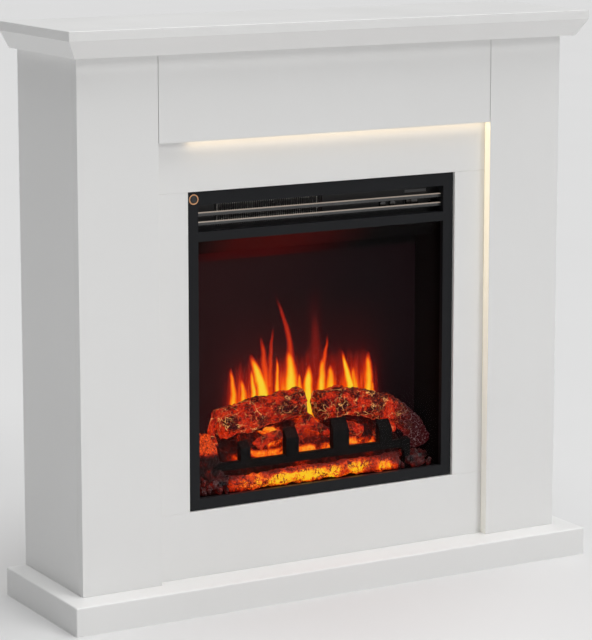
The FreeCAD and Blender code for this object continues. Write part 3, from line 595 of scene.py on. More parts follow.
def turned_ring(name, outline, middle, material, around=96):
    """A round piece spun about an axis along Y. The outline lists a radius and a depth towards the front."""
    corners = []
    for i in range(around):
        angle = 2 * math.pi * i / around
        corners += [(middle.x + r * math.cos(angle), middle.y - d, middle.z + r * math.sin(angle))
                    for r, d in outline]
    step = len(outline)
    faces = []
    for i in range(around):
        here, there = i * step, (i + 1) % around * step
        for j in range(step):
            k = (j + 1) % step
            faces.append((here + j, there + j, there + k, here + k))
    return shaped(name, corners, faces, material)


def shaped(name, corners, faces, material, smooth=True):
    """An object from corners and faces."""
    mesh = bpy.data.meshes.new(name)
    mesh.from_pydata(corners, [], faces)
    mesh.materials.append(material)
    return tidied(name, mesh, smooth)


def tidied(name, mesh, smooth=True):
    """Stands a mesh up as an object, with its seams and poles closed and its faces turned outwards."""
    work = bmesh.new()
    work.from_mesh(mesh)
    bmesh.ops.remove_doubles(work, verts=work.verts, dist=1e-5)
    bmesh.ops.dissolve_degenerate(work, edges=work.edges, dist=1e-6)
    bmesh.ops.recalc_face_normals(work, faces=work.faces)
    for face in work.faces:
        face.smooth = smooth
    work.to_mesh(mesh)
    work.free()
    return stood(name, mesh)


frame_coat = powder_coat("frame_powder", (0.0080, 0.0085, 0.0100), (0.0140, 0.0145, 0.0165), 0.34, 0.15)
coat(frame_coat, "trim_frame")
coat(slat_metal_painted_highlight(), "upper_slat", "lower_slat")
coat(clear_glass(), "front_glass")

copper = metal("brushed_copper", (0.58, 0.29, 0.14), (0.78, 0.44, 0.24), 3000, 0.34, 0.12, 2.0, shine=0.85)
badge_low, badge_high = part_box("trim_badge")
badge_radius = (badge_high.x - badge_low.x) / 2
badge_middle = Vector(((badge_low.x + badge_high.x) / 2, badge_high.y, (badge_low.z + badge_high.z) / 2))
disc_outline = [(badge_radius * share, depth) for share, depth in
                ((0.0, 0.0), (0.8, 0.0), (0.8, 0.0004), (0.0, 0.0004))]
ring_outline = [(badge_radius * share, depth) for share, depth in
                ((0.76, 0.0), (1.0, 0.0), (1.0, 0.00045), (0.95, 0.0006), (0.81, 0.0006), (0.76, 0.00045))]
fixed(turned_ring("badge_ring", ring_outline, badge_middle, copper), "badge_copper", "trim_badge")
fixed(turned_ring("badge_disc", disc_outline, badge_middle, black_plastic), "badge_copper")

# ---------------------------------------------------------------- logs and twig
# Resin logs cast from charred wood: lumpy bark split into plates, dark on the crests. The resin is
# translucent, so the lamps below it shine through the cracks and through thin patches.

liner_sheet = 0.0012
floor_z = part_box("firebox_liner")[0].z + liner_sheet
log_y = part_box("left_log")[0].y + 0.022
noise.seed_set(4)  # the same lumps and cracks on every run


def along(line, share):
    """A point on a smooth curve through the line's points, at a share of its length from 0 to 1."""
    spans = len(line) - 1
    span = min(int(share * spans), spans - 1)
    t = share * spans - span
    p = [line[max(0, min(spans, span + k))] for k in (-1, 0, 1, 2)]
    return 0.5 * (2 * p[1] + (p[2] - p[0]) * t + (2 * p[0] - 5 * p[1] + 4 * p[2] - p[3]) * t ** 2
                  + (3 * p[1] - p[0] - 3 * p[2] + p[3]) * t ** 3)


def crack_depth(place, scale, stretch, width):
    """How deep in a crack between bark plates a place lies: 0 on a plate, 1 in the middle of a crack."""
    warped = place + noise.noise_vector(place * scale * 0.8) * (0.28 / scale)
    near = noise.voronoi(Vector((warped.x * stretch, warped.y, warped.z)) * scale)[0]
    return max(0.0, 1.0 - (near[1] - near[0]) / width)


def charred(name, line, radius, material, seed, rings, around, plate=72.0, rough=1.0, thin=1.0):
    """A log or stick along a line: a tube with lumps, bark plates, grooves between them and broken ends.
    Plate is how many bark plates there are in a metre, and thin is the far end's share of the girth."""
    shift = Vector((seed * 3.1, seed * 1.7, seed * 2.3))
    corners = []
    length = sum((b - a).length for a, b in zip(line, line[1:]))
    for i in range(rings):
        share = 0.5 - 0.5 * math.cos(math.pi * i / (rings - 1))
        centre = along(line, share)
        ahead = (along(line, min(1.0, share + 0.01)) - along(line, max(0.0, share - 0.01))).normalized()
        side = ahead.cross(Vector((0, 1, 0))).normalized()
        depth_way = side.cross(ahead).normalized()
        to_end = min(share, 1 - share) * length / (radius * 0.55)
        round_off = math.sqrt(max(0.0, 1 - (1 - min(1.0, to_end)) ** 2))
        girth = radius * round_off * (1 + (thin - 1) * share)
        for j in range(around):
            angle = 2 * math.pi * j / around
            way = side * math.cos(angle) + depth_way * math.sin(angle)
            spot = centre + way * girth + shift
            crack = crack_depth(spot, plate, 0.62, 0.22)
            fine = crack_depth(spot, plate * 2.3, 0.8, 0.25)
            lumps = noise.noise(spot * 38) * 0.20 + noise.noise(spot * 95) * 0.11
            lumps += noise.noise(spot * 260) * 0.06 - crack * 0.085 - fine * 0.035
            broken = ahead * (noise.noise(spot * 90) * 0.005 * (1 - round_off))
            swell = radius * min(1.0, round_off * 2) * lumps * rough
            corners.append(centre + way * (girth + swell) + broken)
    faces = []
    for here in range(0, (rings - 1) * around, around):
        there = here + around
        for j in range(around):
            k = (j + 1) % around
            faces.append((here + j, here + k, there + k, there + j))
    return shaped(name, corners, faces, material)


def resin(finish, paint, glow, rough, gloss, height, depth=0.0012, strength=0.8):
    """Ends a resin's finish: the paint on it, and the lamps' glow that comes through it."""
    return finish.surface(
        Base_Color=paint,
        Roughness=rough,
        Specular_IOR_Level=gloss,
        Emission_Color=glow,
        Normal=finish.bump(height, depth, strength),
    )


def glowing_char(name, patches, lines=1.0, dim_from=None):
    """Charred resin lit from within. Patches is how much of the bark glows, and lines is how bright its
    cracks are. Past dim_from it is dead char with pale edges."""
    finish = Finish(name)
    bent = finish.bent(85, 0.017)
    cloud = finish.grain(38, 3.0, harsh=0.58)
    fleck = finish.grain(240, 4.0, harsh=0.66)
    come_and_go = finish.grain(60, 3.0, finish.stretched(1.0, 0.7, 1.3))
    alive = 1.0
    if dim_from is not None:
        alive = finish.axis("X").rise(dim_from + 0.040, dim_from)
    net = finish.veins(66, 0.042, bent) * come_and_go.rise(0.44, 0.64)
    fine_net = finish.veins(165, 0.075, bent) * come_and_go.rise(0.62, 0.46)
    lit = cloud.rise(0.64 - patches, 0.80 - patches) * alive
    # painted light: faces turned downwards glow red, as lit from below
    below = finish.facing("Z").rise(-0.35, -0.95) * alive
    ember = (lit * 0.90).most(below * 0.75) * (fleck.rise(0.28, 0.72) * 0.64 + 0.36)
    glow = finish.ramp(ember, (0.0, (0.030, 0.0011, 0.0018)), (0.30, (0.135, 0.0026, 0.0020)),
                       (0.60, (0.42, 0.010, 0.002)), (1.0, (0.88, 0.048, 0.006)))
    glow = finish.blend(glow, (0.85, 0.075, 0.010), fine_net * (fleck.rise(0.35, 0.6) * alive * 0.7))
    glow = finish.blend(glow, (1.0, 0.46, 0.14), net * (fleck.rise(0.25, 0.55) * alive * lines))
    ash = finish.grain(120, 4.0).rise(0.52, 0.75)
    char = finish.blend((0.003, 0.0015, 0.002), (0.012, 0.006, 0.007), ash)
    edges = finish.veins(130, 0.07, bent) * fleck.rise(0.42, 0.62)
    paint = finish.blend(char, (0.36, 0.33, 0.34), edges * (alive * -0.94 + 0.94))
    height = finish.grain(700, 4.0, harsh=0.7) + net * -0.5
    return resin(finish, paint, glow, 0.42 + fleck * 0.3, 0.12, height, strength=0.9)


log_char = glowing_char("log_char", 0.22)
left_line = [Vector((-0.160, log_y - 0.004, 0.2625)), Vector((-0.105, log_y, 0.2680)),
             Vector((-0.052, log_y, 0.2775)), Vector((-0.001, log_y, 0.2820))]
fixed(charred("left_log_bark", left_line, 0.0235, log_char, 1, 230, 190), "log_resin", "left_log")

right_char = glowing_char("right_log_char", 0.20, dim_from=0.150)
right_line = [Vector((0.018, log_y, 0.2740)), Vector((0.065, log_y + 0.001, 0.2740)),
              Vector((0.115, log_y, 0.2660)), Vector((0.160, log_y - 0.003, 0.2520)),
              Vector((0.192, log_y - 0.008, 0.2260)), Vector((0.208, log_y - 0.014, 0.1900))]
right_bark = charred("right_log_bark", right_line, 0.0245, right_char, 5, 300, 190, thin=0.72)
fixed(right_bark, "log_resin", "right_log")

twig_line = [Vector((-0.166, log_y - 0.014, 0.2300)), Vector((-0.172, log_y - 0.010, 0.2520)),
             Vector((-0.167, log_y - 0.008, 0.2700)), Vector((-0.157, log_y - 0.006, 0.2850))]
fixed(charred("left_twig", twig_line, 0.0055, log_char, 8, 60, 48, plate=150.0), "log_resin")

# ---------------------------------------------------------------- ember bed
# One hollow moulding under the logs, its skin modelled as a heap of embers, with a bright roll of embers in
# front of the grate and a heap at each end. Loose coals of the same resin are glued on it.


def heap(name, middle, half, material, seed, cell, across=150, up=60, crest=None):
    """A mound on the liner's floor, its skin a crowd of rounded embers, each about a cell wide. Crest gives
    its height along X."""
    shift = Vector((seed * 2.9, seed * 1.3, seed * 0.7))
    corners = []
    for i in range(across):
        share = 2 * i / (across - 1) - 1
        x = middle.x + half.x * share
        height = crest(x) - floor_z if crest else half.z * math.sqrt(max(0.0, 1 - share ** 2))
        narrow = 1.0 if crest else math.sqrt(max(0.0, 1 - share ** 2))
        for j in range(up):
            angle = math.pi * j / (up - 1)
            y = middle.y - half.y * narrow * math.cos(angle)
            z = floor_z + height * math.sin(angle) ** 0.7
            place = Vector((x, y, z))
            spot = place + shift
            near = noise.voronoi((spot + noise.noise_vector(spot * 60) * 0.006) / cell)[0]
            bulge = (1 - min(1.0, near[0] / 0.75) ** 2) * cell * 0.40
            bulge += noise.noise(spot * 120) * 0.0022 + noise.noise(spot * 380) * 0.0012
            out = Vector((0, -math.cos(angle), math.sin(angle)))
            place += out * bulge * min(1.0, math.sin(angle) * 4 + 0.1)
            corners.append((place.x, place.y, max(floor_z, place.z)))
    faces = []
    for here in range(0, (across - 1) * up, up):
        there = here + up
        faces += [(here + j, there + j, there + j + 1, here + j + 1) for j in range(up - 1)]
        faces.append((here, there - 1, there + up - 1, there))
    if crest:
        faces += [tuple(range(up)), tuple(range((across - 1) * up, across * up))]
    return shaped(name, corners, faces, material)


def bed_crest(x):
    """The height of the ember bed's crest along its length."""
    tops = ((-0.212, 0.222), (-0.150, 0.236), (-0.090, 0.238), (-0.020, 0.252), (0.020, 0.248),
            (0.070, 0.240), (0.120, 0.234), (0.160, 0.212), (0.190, 0.184), (0.212, 0.168))
    for (x0, z0), (x1, z1) in zip(tops, tops[1:]):
        if x <= x1:
            share = (x - x0) / (x1 - x0)
            return z0 + (z1 - z0) * share ** 2 * (3 - 2 * share)
    return tops[-1][1]


def bed_embers():
    """Dark embers, lit from below: brightest in a thin band just over the grate's bar, between its stubs."""
    finish = Finish("bed_embers")
    x, z = finish.axis("X"), finish.axis("Z")
    bent = finish.bent(90, 0.02)
    cloud = finish.grain(50, 4.0, harsh=0.6)
    fleck = finish.grain(380, 4.0, harsh=0.7)
    wave = (finish.grain(22, 2.0, finish.stretched(1.0, 0.0, 0.0)) - 0.5) * 0.022
    over_bar = z - wave
    band = over_bar.rise(0.203, 0.208) * over_bar.rise(0.222, 0.212)
    middle = x.rise(-0.165, -0.120) * x.rise(0.140, 0.110)
    heat = band * middle * (cloud.rise(0.36, 0.52) * 0.55 + 0.30)
    left_spot = z.rise(0.214, 0.226) * x.rise(-0.100, -0.075) * x.rise(-0.040, -0.058)
    left_spot = left_spot * cloud.rise(0.38, 0.55)
    between_logs = z.rise(0.2, 0.255) * x.rise(-0.03, -0.012) * x.rise(0.030, 0.014)
    heat = heat.most(left_spot * 0.8).most(between_logs * 0.62)
    heat = heat * (0.55 + fleck * 0.7) + cloud.rise(0.50, 0.72) * 0.28
    heat = heat + finish.veins(110, 0.06, bent) * middle * 0.22
    glow = finish.ramp(heat, (0.0, (0.008, 0.0007, 0.0006)), (0.26, (0.075, 0.003, 0.001)),
                       (0.50, (0.50, 0.018, 0.002)), (0.75, (1.0, 0.12, 0.004)), (1.0, (1.0, 0.36, 0.02)))
    paint = finish.blend((0.003, 0.0012, 0.0012), (0.010, 0.004, 0.0035), finish.grain(150, 4.0))
    return resin(finish, paint, glow, 0.55 + fleck * 0.3, 0.1, finish.grain(700, 4.0, harsh=0.7))


def bright_embers():
    """Glowing embers with dark cracks, yellow in a few hot spots, red at both ends and on the rims."""
    finish = Finish("roll_embers")
    x, z = finish.axis("X"), finish.axis("Z")
    bent = finish.bent(95, 0.020)
    ends = x.rise(-0.162, -0.105) * x.rise(0.158, 0.118)
    rims = z.rise(floor_z - 0.002, floor_z + 0.010) * z.rise(floor_z + 0.027, floor_z + 0.016)
    cloud = finish.grain(34, 3.0, finish.stretched(0.75, 1.0, 1.0))
    fleck = finish.grain(300, 4.0, harsh=0.7)
    heat = (ends * 0.58 + 0.30) * (rims * 0.62 + 0.38) * (cloud.rise(0.34, 0.60) * 0.72 + 0.44)
    heat = heat * (fleck.rise(0.22, 0.62) * 0.50 + 0.66)
    cracks = finish.veins(85, 0.085, bent).most(finish.veins(240, 0.10, bent) * 0.55)
    heat = heat * (1 - cracks * (finish.grain(60).rise(0.32, 0.55) * 0.85))
    glow = finish.ramp(heat, (0.0, (0.012, 0.001, 0.001)), (0.24, (0.14, 0.004, 0.001)),
                       (0.44, (0.70, 0.035, 0.002)), (0.62, (1.0, 0.17, 0.003)),
                       (0.82, (1.0, 0.58, 0.010)))
    paint = finish.blend((0.012, 0.004, 0.003), (0.030, 0.008, 0.005), fleck)
    return resin(finish, paint, glow, 0.45 + cloud * 0.3, 0.3, finish.grain(700, 4.0, harsh=0.7))


def heap_embers():
    """The left heap: fine orange-red embers on its top, dark coarse ones with a trace of red below."""
    finish = Finish("heap_embers")
    z = finish.axis("Z")
    bent = finish.bent(160, 0.014)
    fleck = finish.grain(420, 4.0, harsh=0.7)
    cloud = finish.grain(55, 3.0)
    wave = (finish.grain(60, 2.0) - 0.5) * 0.016
    top = (z + wave).rise(0.217, 0.229)
    traces = cloud.rise(0.52, 0.68) * fleck.rise(0.4, 0.6)
    heat = top * (fleck.rise(0.25, 0.62) * 0.55 + 0.28) + traces * 0.30
    heat = heat * (1 - finish.veins(190, 0.11, bent) * 0.75)
    glow = finish.ramp(heat, (0.0, (0.006, 0.0006, 0.0006)), (0.20, (0.10, 0.004, 0.002)),
                       (0.45, (0.60, 0.026, 0.003)), (0.80, (1.0, 0.11, 0.010)))
    paint = finish.blend((0.003, 0.002, 0.002), (0.014, 0.007, 0.007), finish.grain(200, 4.0))
    height = finish.grain(600, 4.0, harsh=0.7)
    return resin(finish, paint, glow, 0.35 + fleck * 0.35, 0.15, height, 0.0016, 0.9)


bed_low, bed_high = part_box("ember_bed")
bed_half = Vector((0.212, 0.0205, 0))
bed_middle = Vector((0, bed_high.y - 0.021, 0))
bed_skin = heap("ember_bed_skin", bed_middle, bed_half, bed_embers(), 3, 0.0150, 420, 70, bed_crest)
fixed(bed_skin, "ember_resin", "ember_bed")

roll_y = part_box("grate")[0].y - 0.003
roll_radius = 0.0125
roll_line = [Vector((-0.158 + 0.103 * k, roll_y, floor_z + 0.0135 + 0.001 * (k % 2))) for k in range(4)]
roll = charred("ember_roll", roll_line, roll_radius, bright_embers(), 11, 420, 80, plate=85.0, rough=1.7)
fixed(roll, "ember_resin")

heap_depth = 0.022
heap_half = Vector((0.030, heap_depth, 0.091))
heap_middle = Vector((-0.188, roll_y + heap_depth, 0))
fixed(heap("left_heap", heap_middle, heap_half, heap_embers(), 6, 0.0075, up=190), "ember_resin")


def dark_coal():
    """Black glassy coals with a trace of red between them."""
    finish = Finish("dark_coal")
    cloud = finish.grain(70, 3.0)
    fleck = finish.grain(500, 3.0)
    glow = finish.ramp(cloud * 0.7 + fleck * 0.3, (0.40, (0.0, 0.0, 0.0)), (0.58, (0.05, 0.002, 0.001)),
                       (0.72, (0.35, 0.015, 0.004)))
    paint = finish.blend((0.006, 0.004, 0.005), (0.022, 0.014, 0.016), fleck)
    return resin(finish, paint, glow, 0.14 + cloud * 0.35, 0.35, fleck)


def scattered_coals(name, ground, material, seed, count_per_area, small, large):
    """Coals lying on a skin, each a knocked-about lump turned its own way."""
    jig = Jig(name, {"Density": float(count_per_area), "Smallest": small, "Largest": large, "Seed": seed})
    lump = jig.add("GeometryNodeMeshIcoSphere", {}, {"Radius": 1.0, "Subdivisions": 3})
    spread = jig.add("GeometryNodeDistributePointsOnFaces", {},
                     {"Mesh": jig.start, "Density": jig.size["Density"], "Seed": jig.size["Seed"]})
    turn = jig.vector(*(jig.chance(0.0, 6.28, seed + k) for k in (1, 2, 3)))
    size = jig.chance(jig.size["Smallest"], jig.size["Largest"], seed + 4)
    shape = jig.vector(size, size * jig.chance(0.6, 0.95, seed + 5), size * jig.chance(0.5, 0.9, seed + 6))
    coals = jig.repeated(spread, lump, turn, shape)
    lumps = jig.add("GeometryNodeRealizeInstances", {}, {"Geometry": coals})
    chips = jig.add("ShaderNodeTexNoise", {}, {"Scale": 210.0, "Detail": 2.0}, "Color")
    knock = jig.add("ShaderNodeVectorMath", {"operation": "SUBTRACT"}, {0: chips, 1: (0.5, 0.5, 0.5)})
    knock = jig.add("ShaderNodeVectorMath", {"operation": "SCALE"}, {0: knock, "Scale": size * 1.1})
    knocked = jig.add("GeometryNodeSetPosition", {}, {"Geometry": lumps, "Offset": knock})
    return jig.made(name, knocked, material, ground)


def patch(name, low, high):
    """A flat patch of ground that coals are scattered on, between two corners."""
    mesh = bpy.data.meshes.new(name)
    mesh.from_pydata([low, (high[0], low[1], low[2]), high, (low[0], high[1], high[2])], [], [(0, 1, 2, 3)])
    return mesh


coal = dark_coal()
front_y = roll_y - 0.006
heaps = {
    "coals_left": (((-0.212, front_y, 0.166), (-0.160, front_y + 0.020, 0.205)), 21, 26000, 0.0038, 0.0085),
    "coals_right": (((0.152, front_y, 0.166), (0.213, front_y + 0.024, 0.182)), 34, 21000, 0.0038, 0.0080),
}
for label, ((low, high), seed, density, small, large) in heaps.items():
    fixed(scattered_coals(label, patch(label + "_ground", low, high), coal, seed, density, small, large),
          "ember_resin")

kindling_skin = glowing_char("kindling_char", 0.26, lines=0.35)
kindling_y = bed_low.y + 0.030
kindling = (((-0.034, 0.222), (0.004, 0.262), 0.0095), ((0.040, 0.226), (-0.006, 0.250), 0.0085),
            ((0.050, 0.236), (0.098, 0.226), 0.0100), ((-0.098, 0.222), (-0.050, 0.238), 0.0085),
            ((0.118, 0.216), (0.160, 0.226), 0.0090))
for i, ((x0, z0), (x1, z1), radius) in enumerate(kindling):
    halfway = Vector(((x0 + x1) / 2, kindling_y + 0.002, (z0 + z1) / 2 + 0.002))
    line = [Vector((x0, kindling_y, z0)), halfway, Vector((x1, kindling_y, z1))]
    stick = charred(f"kindling_{i + 1}", line, radius, kindling_skin, 20 + i, 70, 64, plate=120.0)
    fixed(stick, "ember_resin")

# ---------------------------------------------------------------- grate
# A black plastic casting with a cast-iron look: a bar with knobbed ends that turn down to the floor, and four
# square stubs with sloping tops that hold the logs back.


def cast_black():
    finish = Finish("cast_black")
    sand = finish.grain(700, 3.0)
    return finish.surface(
        Base_Color=finish.blend((0.0012, 0.0008, 0.0010), (0.0035, 0.0024, 0.0028), finish.grain(60, 3.0)),
        Roughness=0.50 + sand * 0.25,
        Specular_IOR_Level=0.12,
        Normal=finish.bump(sand, 0.0004, 0.6),
    )


def bevelled(name, corners, faces, material, width, segments=2):
    """A casting with softened edges."""
    thing = shaped(name, corners, faces, material, smooth=False)
    bevel = thing.modifiers.new("edges", "BEVEL")
    bevel.width = width
    bevel.segments = segments
    ready = thing.evaluated_get(bpy.context.evaluated_depsgraph_get())
    mesh = bpy.data.meshes.new_from_object(ready)
    thing.modifiers.clear()
    thing.data = mesh
    return thing


def box_corners(low, high, slope=0.0):
    """The eight corners of a bar or stub; slope lowers the front of its top."""
    corners = [(x, y, z) for z in (low[2], high[2]) for y in (low[1], high[1]) for x in (low[0], high[0])]
    return [(x, y, z - slope if z == high[2] and y == low[1] else z) for x, y, z in corners]


def grate_casting(material):
    y0, y1 = (corner.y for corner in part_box("grate"))
    bar_low, bar_high = 0.1945, 0.2075
    knob_half, leg_half = 0.0085, 0.006
    # each block is two corners and how far the front of its top is lowered
    blocks = [((-0.176, y0, bar_low), (0.166, y1, bar_high), 0.0)]
    for x, width, top, slope in ((-0.1235, 0.0180, 0.2370, 0.010), (-0.0400, 0.0235, 0.2490, 0.015),
                                 (0.0485, 0.0300, 0.2550, 0.020), (0.1315, 0.0245, 0.2430, 0.016)):
        half = width / 2
        blocks.append(((x - half, y0 - 0.001, bar_high - 0.004), (x + half, y1 + 0.002, top), slope))
    for knob_x, leg_x in ((-0.180, -0.183), (0.169, 0.172)):
        blocks.append(((knob_x - knob_half, y0 - 0.0015, bar_low - 0.004),
                       (knob_x + knob_half, y1 + 0.001, bar_high + 0.003), 0.003))
        blocks.append(((leg_x - leg_half, y0, floor_z), (leg_x + leg_half, y1, bar_low), 0.0))
    corners, faces = [], []
    for low, high, slope in blocks:
        start = len(corners)
        corners += box_corners(low, high, slope)
        faces += [tuple(start + k for k in face) for face in
                  ((0, 2, 3, 1), (4, 5, 7, 6), (0, 1, 5, 4), (2, 6, 7, 3), (0, 4, 6, 2), (1, 3, 7, 5))]
    return bevelled("grate_casting", corners, faces, material, 0.0014)


fixed(grate_casting(cast_black()), "grate_black", "grate")

# ---------------------------------------------------------------- flame screen and what moves its light
# A smoked acrylic screen shows the flames: light from the lamps, chopped by turning foil paddles and shaped
# by the slots of a tin mask. A slow motor turns the spindle in a plain bush.


def flame_screen():
    finish = Finish("flame_screen")
    x, z = finish.axis("X"), finish.axis("Z")
    sway = finish.grain(26, 2.0) - 0.5
    x = x + sway * 0.010
    # place, foot, tip, half width, lean of the tip, heat; metres
    flames = (
        (-0.112, 0.268, 0.348, 0.0070, -0.006, 0.78), (-0.094, 0.262, 0.330, 0.0080, -0.004, 0.66),
        (-0.060, 0.270, 0.366, 0.0110, -0.024, 0.98), (-0.078, 0.270, 0.344, 0.0060, -0.002, 0.74),
        (-0.056, 0.290, 0.396, 0.0065, -0.008, 0.47), (-0.050, 0.300, 0.410, 0.0045, 0.010, 0.38),
        (-0.036, 0.280, 0.358, 0.0045, 0.000, 0.76), (-0.008, 0.272, 0.372, 0.0130, -0.006, 0.94),
        (-0.006, 0.300, 0.462, 0.0062, -0.034, 0.42), (0.008, 0.280, 0.326, 0.0060, -0.004, 0.70),
        (0.020, 0.236, 0.342, 0.0115, 0.004, 1.02), (0.046, 0.270, 0.352, 0.0090, 0.004, 0.74),
        (0.048, 0.290, 0.386, 0.0050, 0.010, 0.52), (0.063, 0.270, 0.336, 0.0095, 0.000, 0.76),
        (0.101, 0.262, 0.356, 0.0075, -0.018, 1.00), (0.108, 0.262, 0.330, 0.0080, -0.002, 0.60),
        (0.134, 0.262, 0.350, 0.0085, 0.000, 0.86), (0.142, 0.262, 0.300, 0.0050, -0.002, 0.72),
    )
    heat = None
    for middle, foot, tip, half, lean, strength in flames:
        up = ((z - foot) / (tip - foot)).most(0.0).least(1.0)
        width = (1 - up) ** 0.8 * (half * 1.25) + half * 0.22
        off = abs(x - (up * up * lean + middle)) / width
        body = off.rise(1.45, 0.0) * up.rise(1.0, 0.72)
        body = body * (strength * (1 - up * 0.22)) * up.rise(0.0, 0.06)
        heat = body if heat is None else heat.most(body)
    streaks = finish.grain(150, 2.0, finish.stretched(1.0, 1.0, 0.07))
    haze = z.rise(0.375, 0.275) * x.rise(-0.150, -0.085) * x.rise(0.165, 0.120)
    haze = haze * (0.24 + streaks.rise(0.35, 0.72) * 0.45) * z.rise(0.245, 0.275)
    heat = (heat + haze * 0.36).most(haze)
    halo = z.rise(0.460, 0.290) * x.rise(-0.190, -0.080) * x.rise(0.190, 0.100)
    tall = (abs(x - 0.034) / 0.013).rise(1.4, 0.0) * z.rise(0.470, 0.380) * z.rise(0.300, 0.370)
    heat = heat + halo * 0.10 + tall * 0.15
    front = finish.facing("Y") * -1
    # a dim red glow emitted over the screen's face, redder to the left
    reddish = x.rise(0.150, -0.150) * 0.75 + finish.grain(7, 3.0) * 0.3
    dim_red_glow = finish.blend((0.0030, 0.0014, 0.0020), (0.019, 0.0048, 0.0052), reddish)
    glow = finish.ramp(heat, (0.0, (0.0, 0.0, 0.0)), (0.12, (0.030, 0.001, 0.001)),
                       (0.34, (0.36, 0.009, 0.001)), (0.56, (0.90, 0.065, 0.001)),
                       (0.76, (1.0, 0.28, 0.001)), (1.0, (1.0, 0.66, 0.03)))
    added = {"data_type": "RGBA", "blend_type": "ADD"}
    glow = finish.add("ShaderNodeMix", added, {0: 1.0, 6: dim_red_glow, 7: glow}, 2)
    return finish.surface(
        Base_Color=finish.blend((0.0012, 0.0009, 0.0010), (0.0024, 0.0018, 0.0019), finish.grain(12, 2.0)),
        Roughness=0.30 + finish.grain(40, 2.0) * 0.1,
        Specular_IOR_Level=0.02,
        Emission_Color=finish.blend((0.0, 0.0, 0.0), glow, front.over(0.5)),
    )


def crinkled_foil():
    finish = Finish("crinkled_foil")
    crease = finish.cells(130) + finish.grain(300, 2.0) * 0.5
    return finish.surface(
        Base_Color=finish.blend((0.80, 0.80, 0.81), (0.92, 0.92, 0.92), finish.grain(90)),
        Metallic=1.0,
        Roughness=0.10 + finish.grain(60, 2.0) * 0.12,
        Normal=finish.bump(crease, 0.0006, 0.6),
    )


def solder_mask():
    finish = Finish("solder_mask")
    tracks = finish.cells(260, "DISTANCE_TO_EDGE", finish.stretched(1.0, 0.4, 1.0))
    return finish.surface(
        Base_Color=finish.blend((0.020, 0.115, 0.050), (0.045, 0.20, 0.090), tracks.rise(0.10, 0.05)),
        Roughness=0.30 + finish.grain(80) * 0.15,
        Normal=finish.bump(tracks, 0.0001, 0.3),
    )


tin = metal("tin_sheet", (0.46, 0.46, 0.46), (0.62, 0.62, 0.61), 300, 0.35, drawn=0.08)
coat(flame_screen(), "flame_screen")
coat(crinkled_foil(), "flame_spindle")
coat(tin, "flame_mask", "blower_wheel")
coat(zinc, "spindle_motor", "blower_motor", "blower_housing")
coat(solder_mask(), "light_boards", "control_board")

lamp_count, lamp_pitch = 20, 0.018
lamp_jig = Jig("lamp_domes", {"Lamps": lamp_count, "Pitch": lamp_pitch, "Radius": 0.0024})
lens = lamp_jig.add("GeometryNodeMeshUVSphere", {},
                    {"Segments": 12, "Rings": 6, "Radius": lamp_jig.size["Radius"]})
spindle_low, spindle_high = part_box("flame_spindle")
board_top = 0.0020
under_spindle = ((spindle_low.y + spindle_high.y) / 2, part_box("light_boards")[0].z + board_top)
under_bed = (bed_low.y + 0.047, floor_z + board_top)
lamp_step = lamp_jig.vector(lamp_jig.size["Pitch"], 0.0, 0.0)
lamp_rows = [lamp_jig.row(lamp_jig.size["Lamps"], (-lamp_pitch * (lamp_count - 1) / 2, y, z), lamp_step)
             for y, z in (under_spindle, under_bed)]
lamps = lamp_jig.repeated(lamp_jig.join(*lamp_rows), lens)
fixed(lamp_jig.made("lamp_domes", lamps, phosphor()), "circuit")

# ---------------------------------------------------------------- heater
# A ceramic bar heater: three bars between stacks of thin crimped fins in an aluminium frame, behind a
# slotted guard. A crossflow wheel in a folded scroll blows through it.

heater_finish = metal("heater_metal", (0.42, 0.40, 0.38), (0.66, 0.64, 0.61), 70, 0.34)
coat(heater_finish, "heating_element")
guard_coat = powder_coat("guard_powder", (0.012, 0.012, 0.013), (0.022, 0.022, 0.024), 0.40, 0.4)
coat(guard_coat, "outlet_guard", "control_panel")

heater_low, heater_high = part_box("heating_element")
fin_rim, bar_rim, fin_rows, fin_pitch = 0.006, 0.003, 4, 0.0017
fin_gap = (heater_high.z - heater_low.z - 2 * bar_rim) / fin_rows
fin_jig = Jig("heater_fins", {"Fins": int((heater_high.x - heater_low.x - 2 * fin_rim) / fin_pitch),
                              "Pitch": fin_pitch, "Fin": (0.00022, 0.0095, fin_gap * 0.80), "Slant": 0.16})
fin = fin_jig.add("GeometryNodeMeshCube", {}, {"Size": fin_jig.size["Fin"]})
fin_step = fin_jig.vector(fin_jig.size["Pitch"] * 2, 0.0, 0.0)
fin_sets = []
for row in range(fin_rows):
    height = heater_low.z + bar_rim + fin_gap * (row + 0.5)
    for lean, offset in ((1.0, 0.0), (-1.0, fin_pitch)):
        first = (heater_low.x + fin_rim + offset, (heater_low.y + heater_high.y) / 2, height)
        line = fin_jig.row(fin_jig.size["Fins"] * 0.5, first, fin_step)
        fin_sets.append(fin_jig.repeated(line, fin, fin_jig.vector(0.0, fin_jig.size["Slant"] * lean, 0.0)))
fixed(fin_jig.made("heater_fins", fin_jig.join(*fin_sets), heater_finish), "heater")

# ---------------------------------------------------------------- controls
# Two round push buttons and a rocker in polished black, a smoked display window and a receiver window in the
# panel behind the slats. Small parts stand on the circuit board behind.


def polished_black():
    finish = Finish("polished_black")
    smear = finish.grain(120, 3.0)
    return finish.surface(
        Base_Color=finish.blend((0.010, 0.010, 0.011), (0.020, 0.020, 0.022), smear),
        Roughness=0.12 + smear * 0.12,
        Coat_Weight=0.4,
        Coat_Roughness=0.08,
        Normal=finish.bump(finish.grain(400, 2.0), 0.00004, 0.3),
    )


def smoked_window():
    finish = Finish("smoked_window")
    return finish.surface(
        Base_Color=finish.blend((0.006, 0.005, 0.007), (0.012, 0.009, 0.011), finish.grain(90)),
        Roughness=0.06 + finish.grain(200, 2.0) * 0.06,
    )


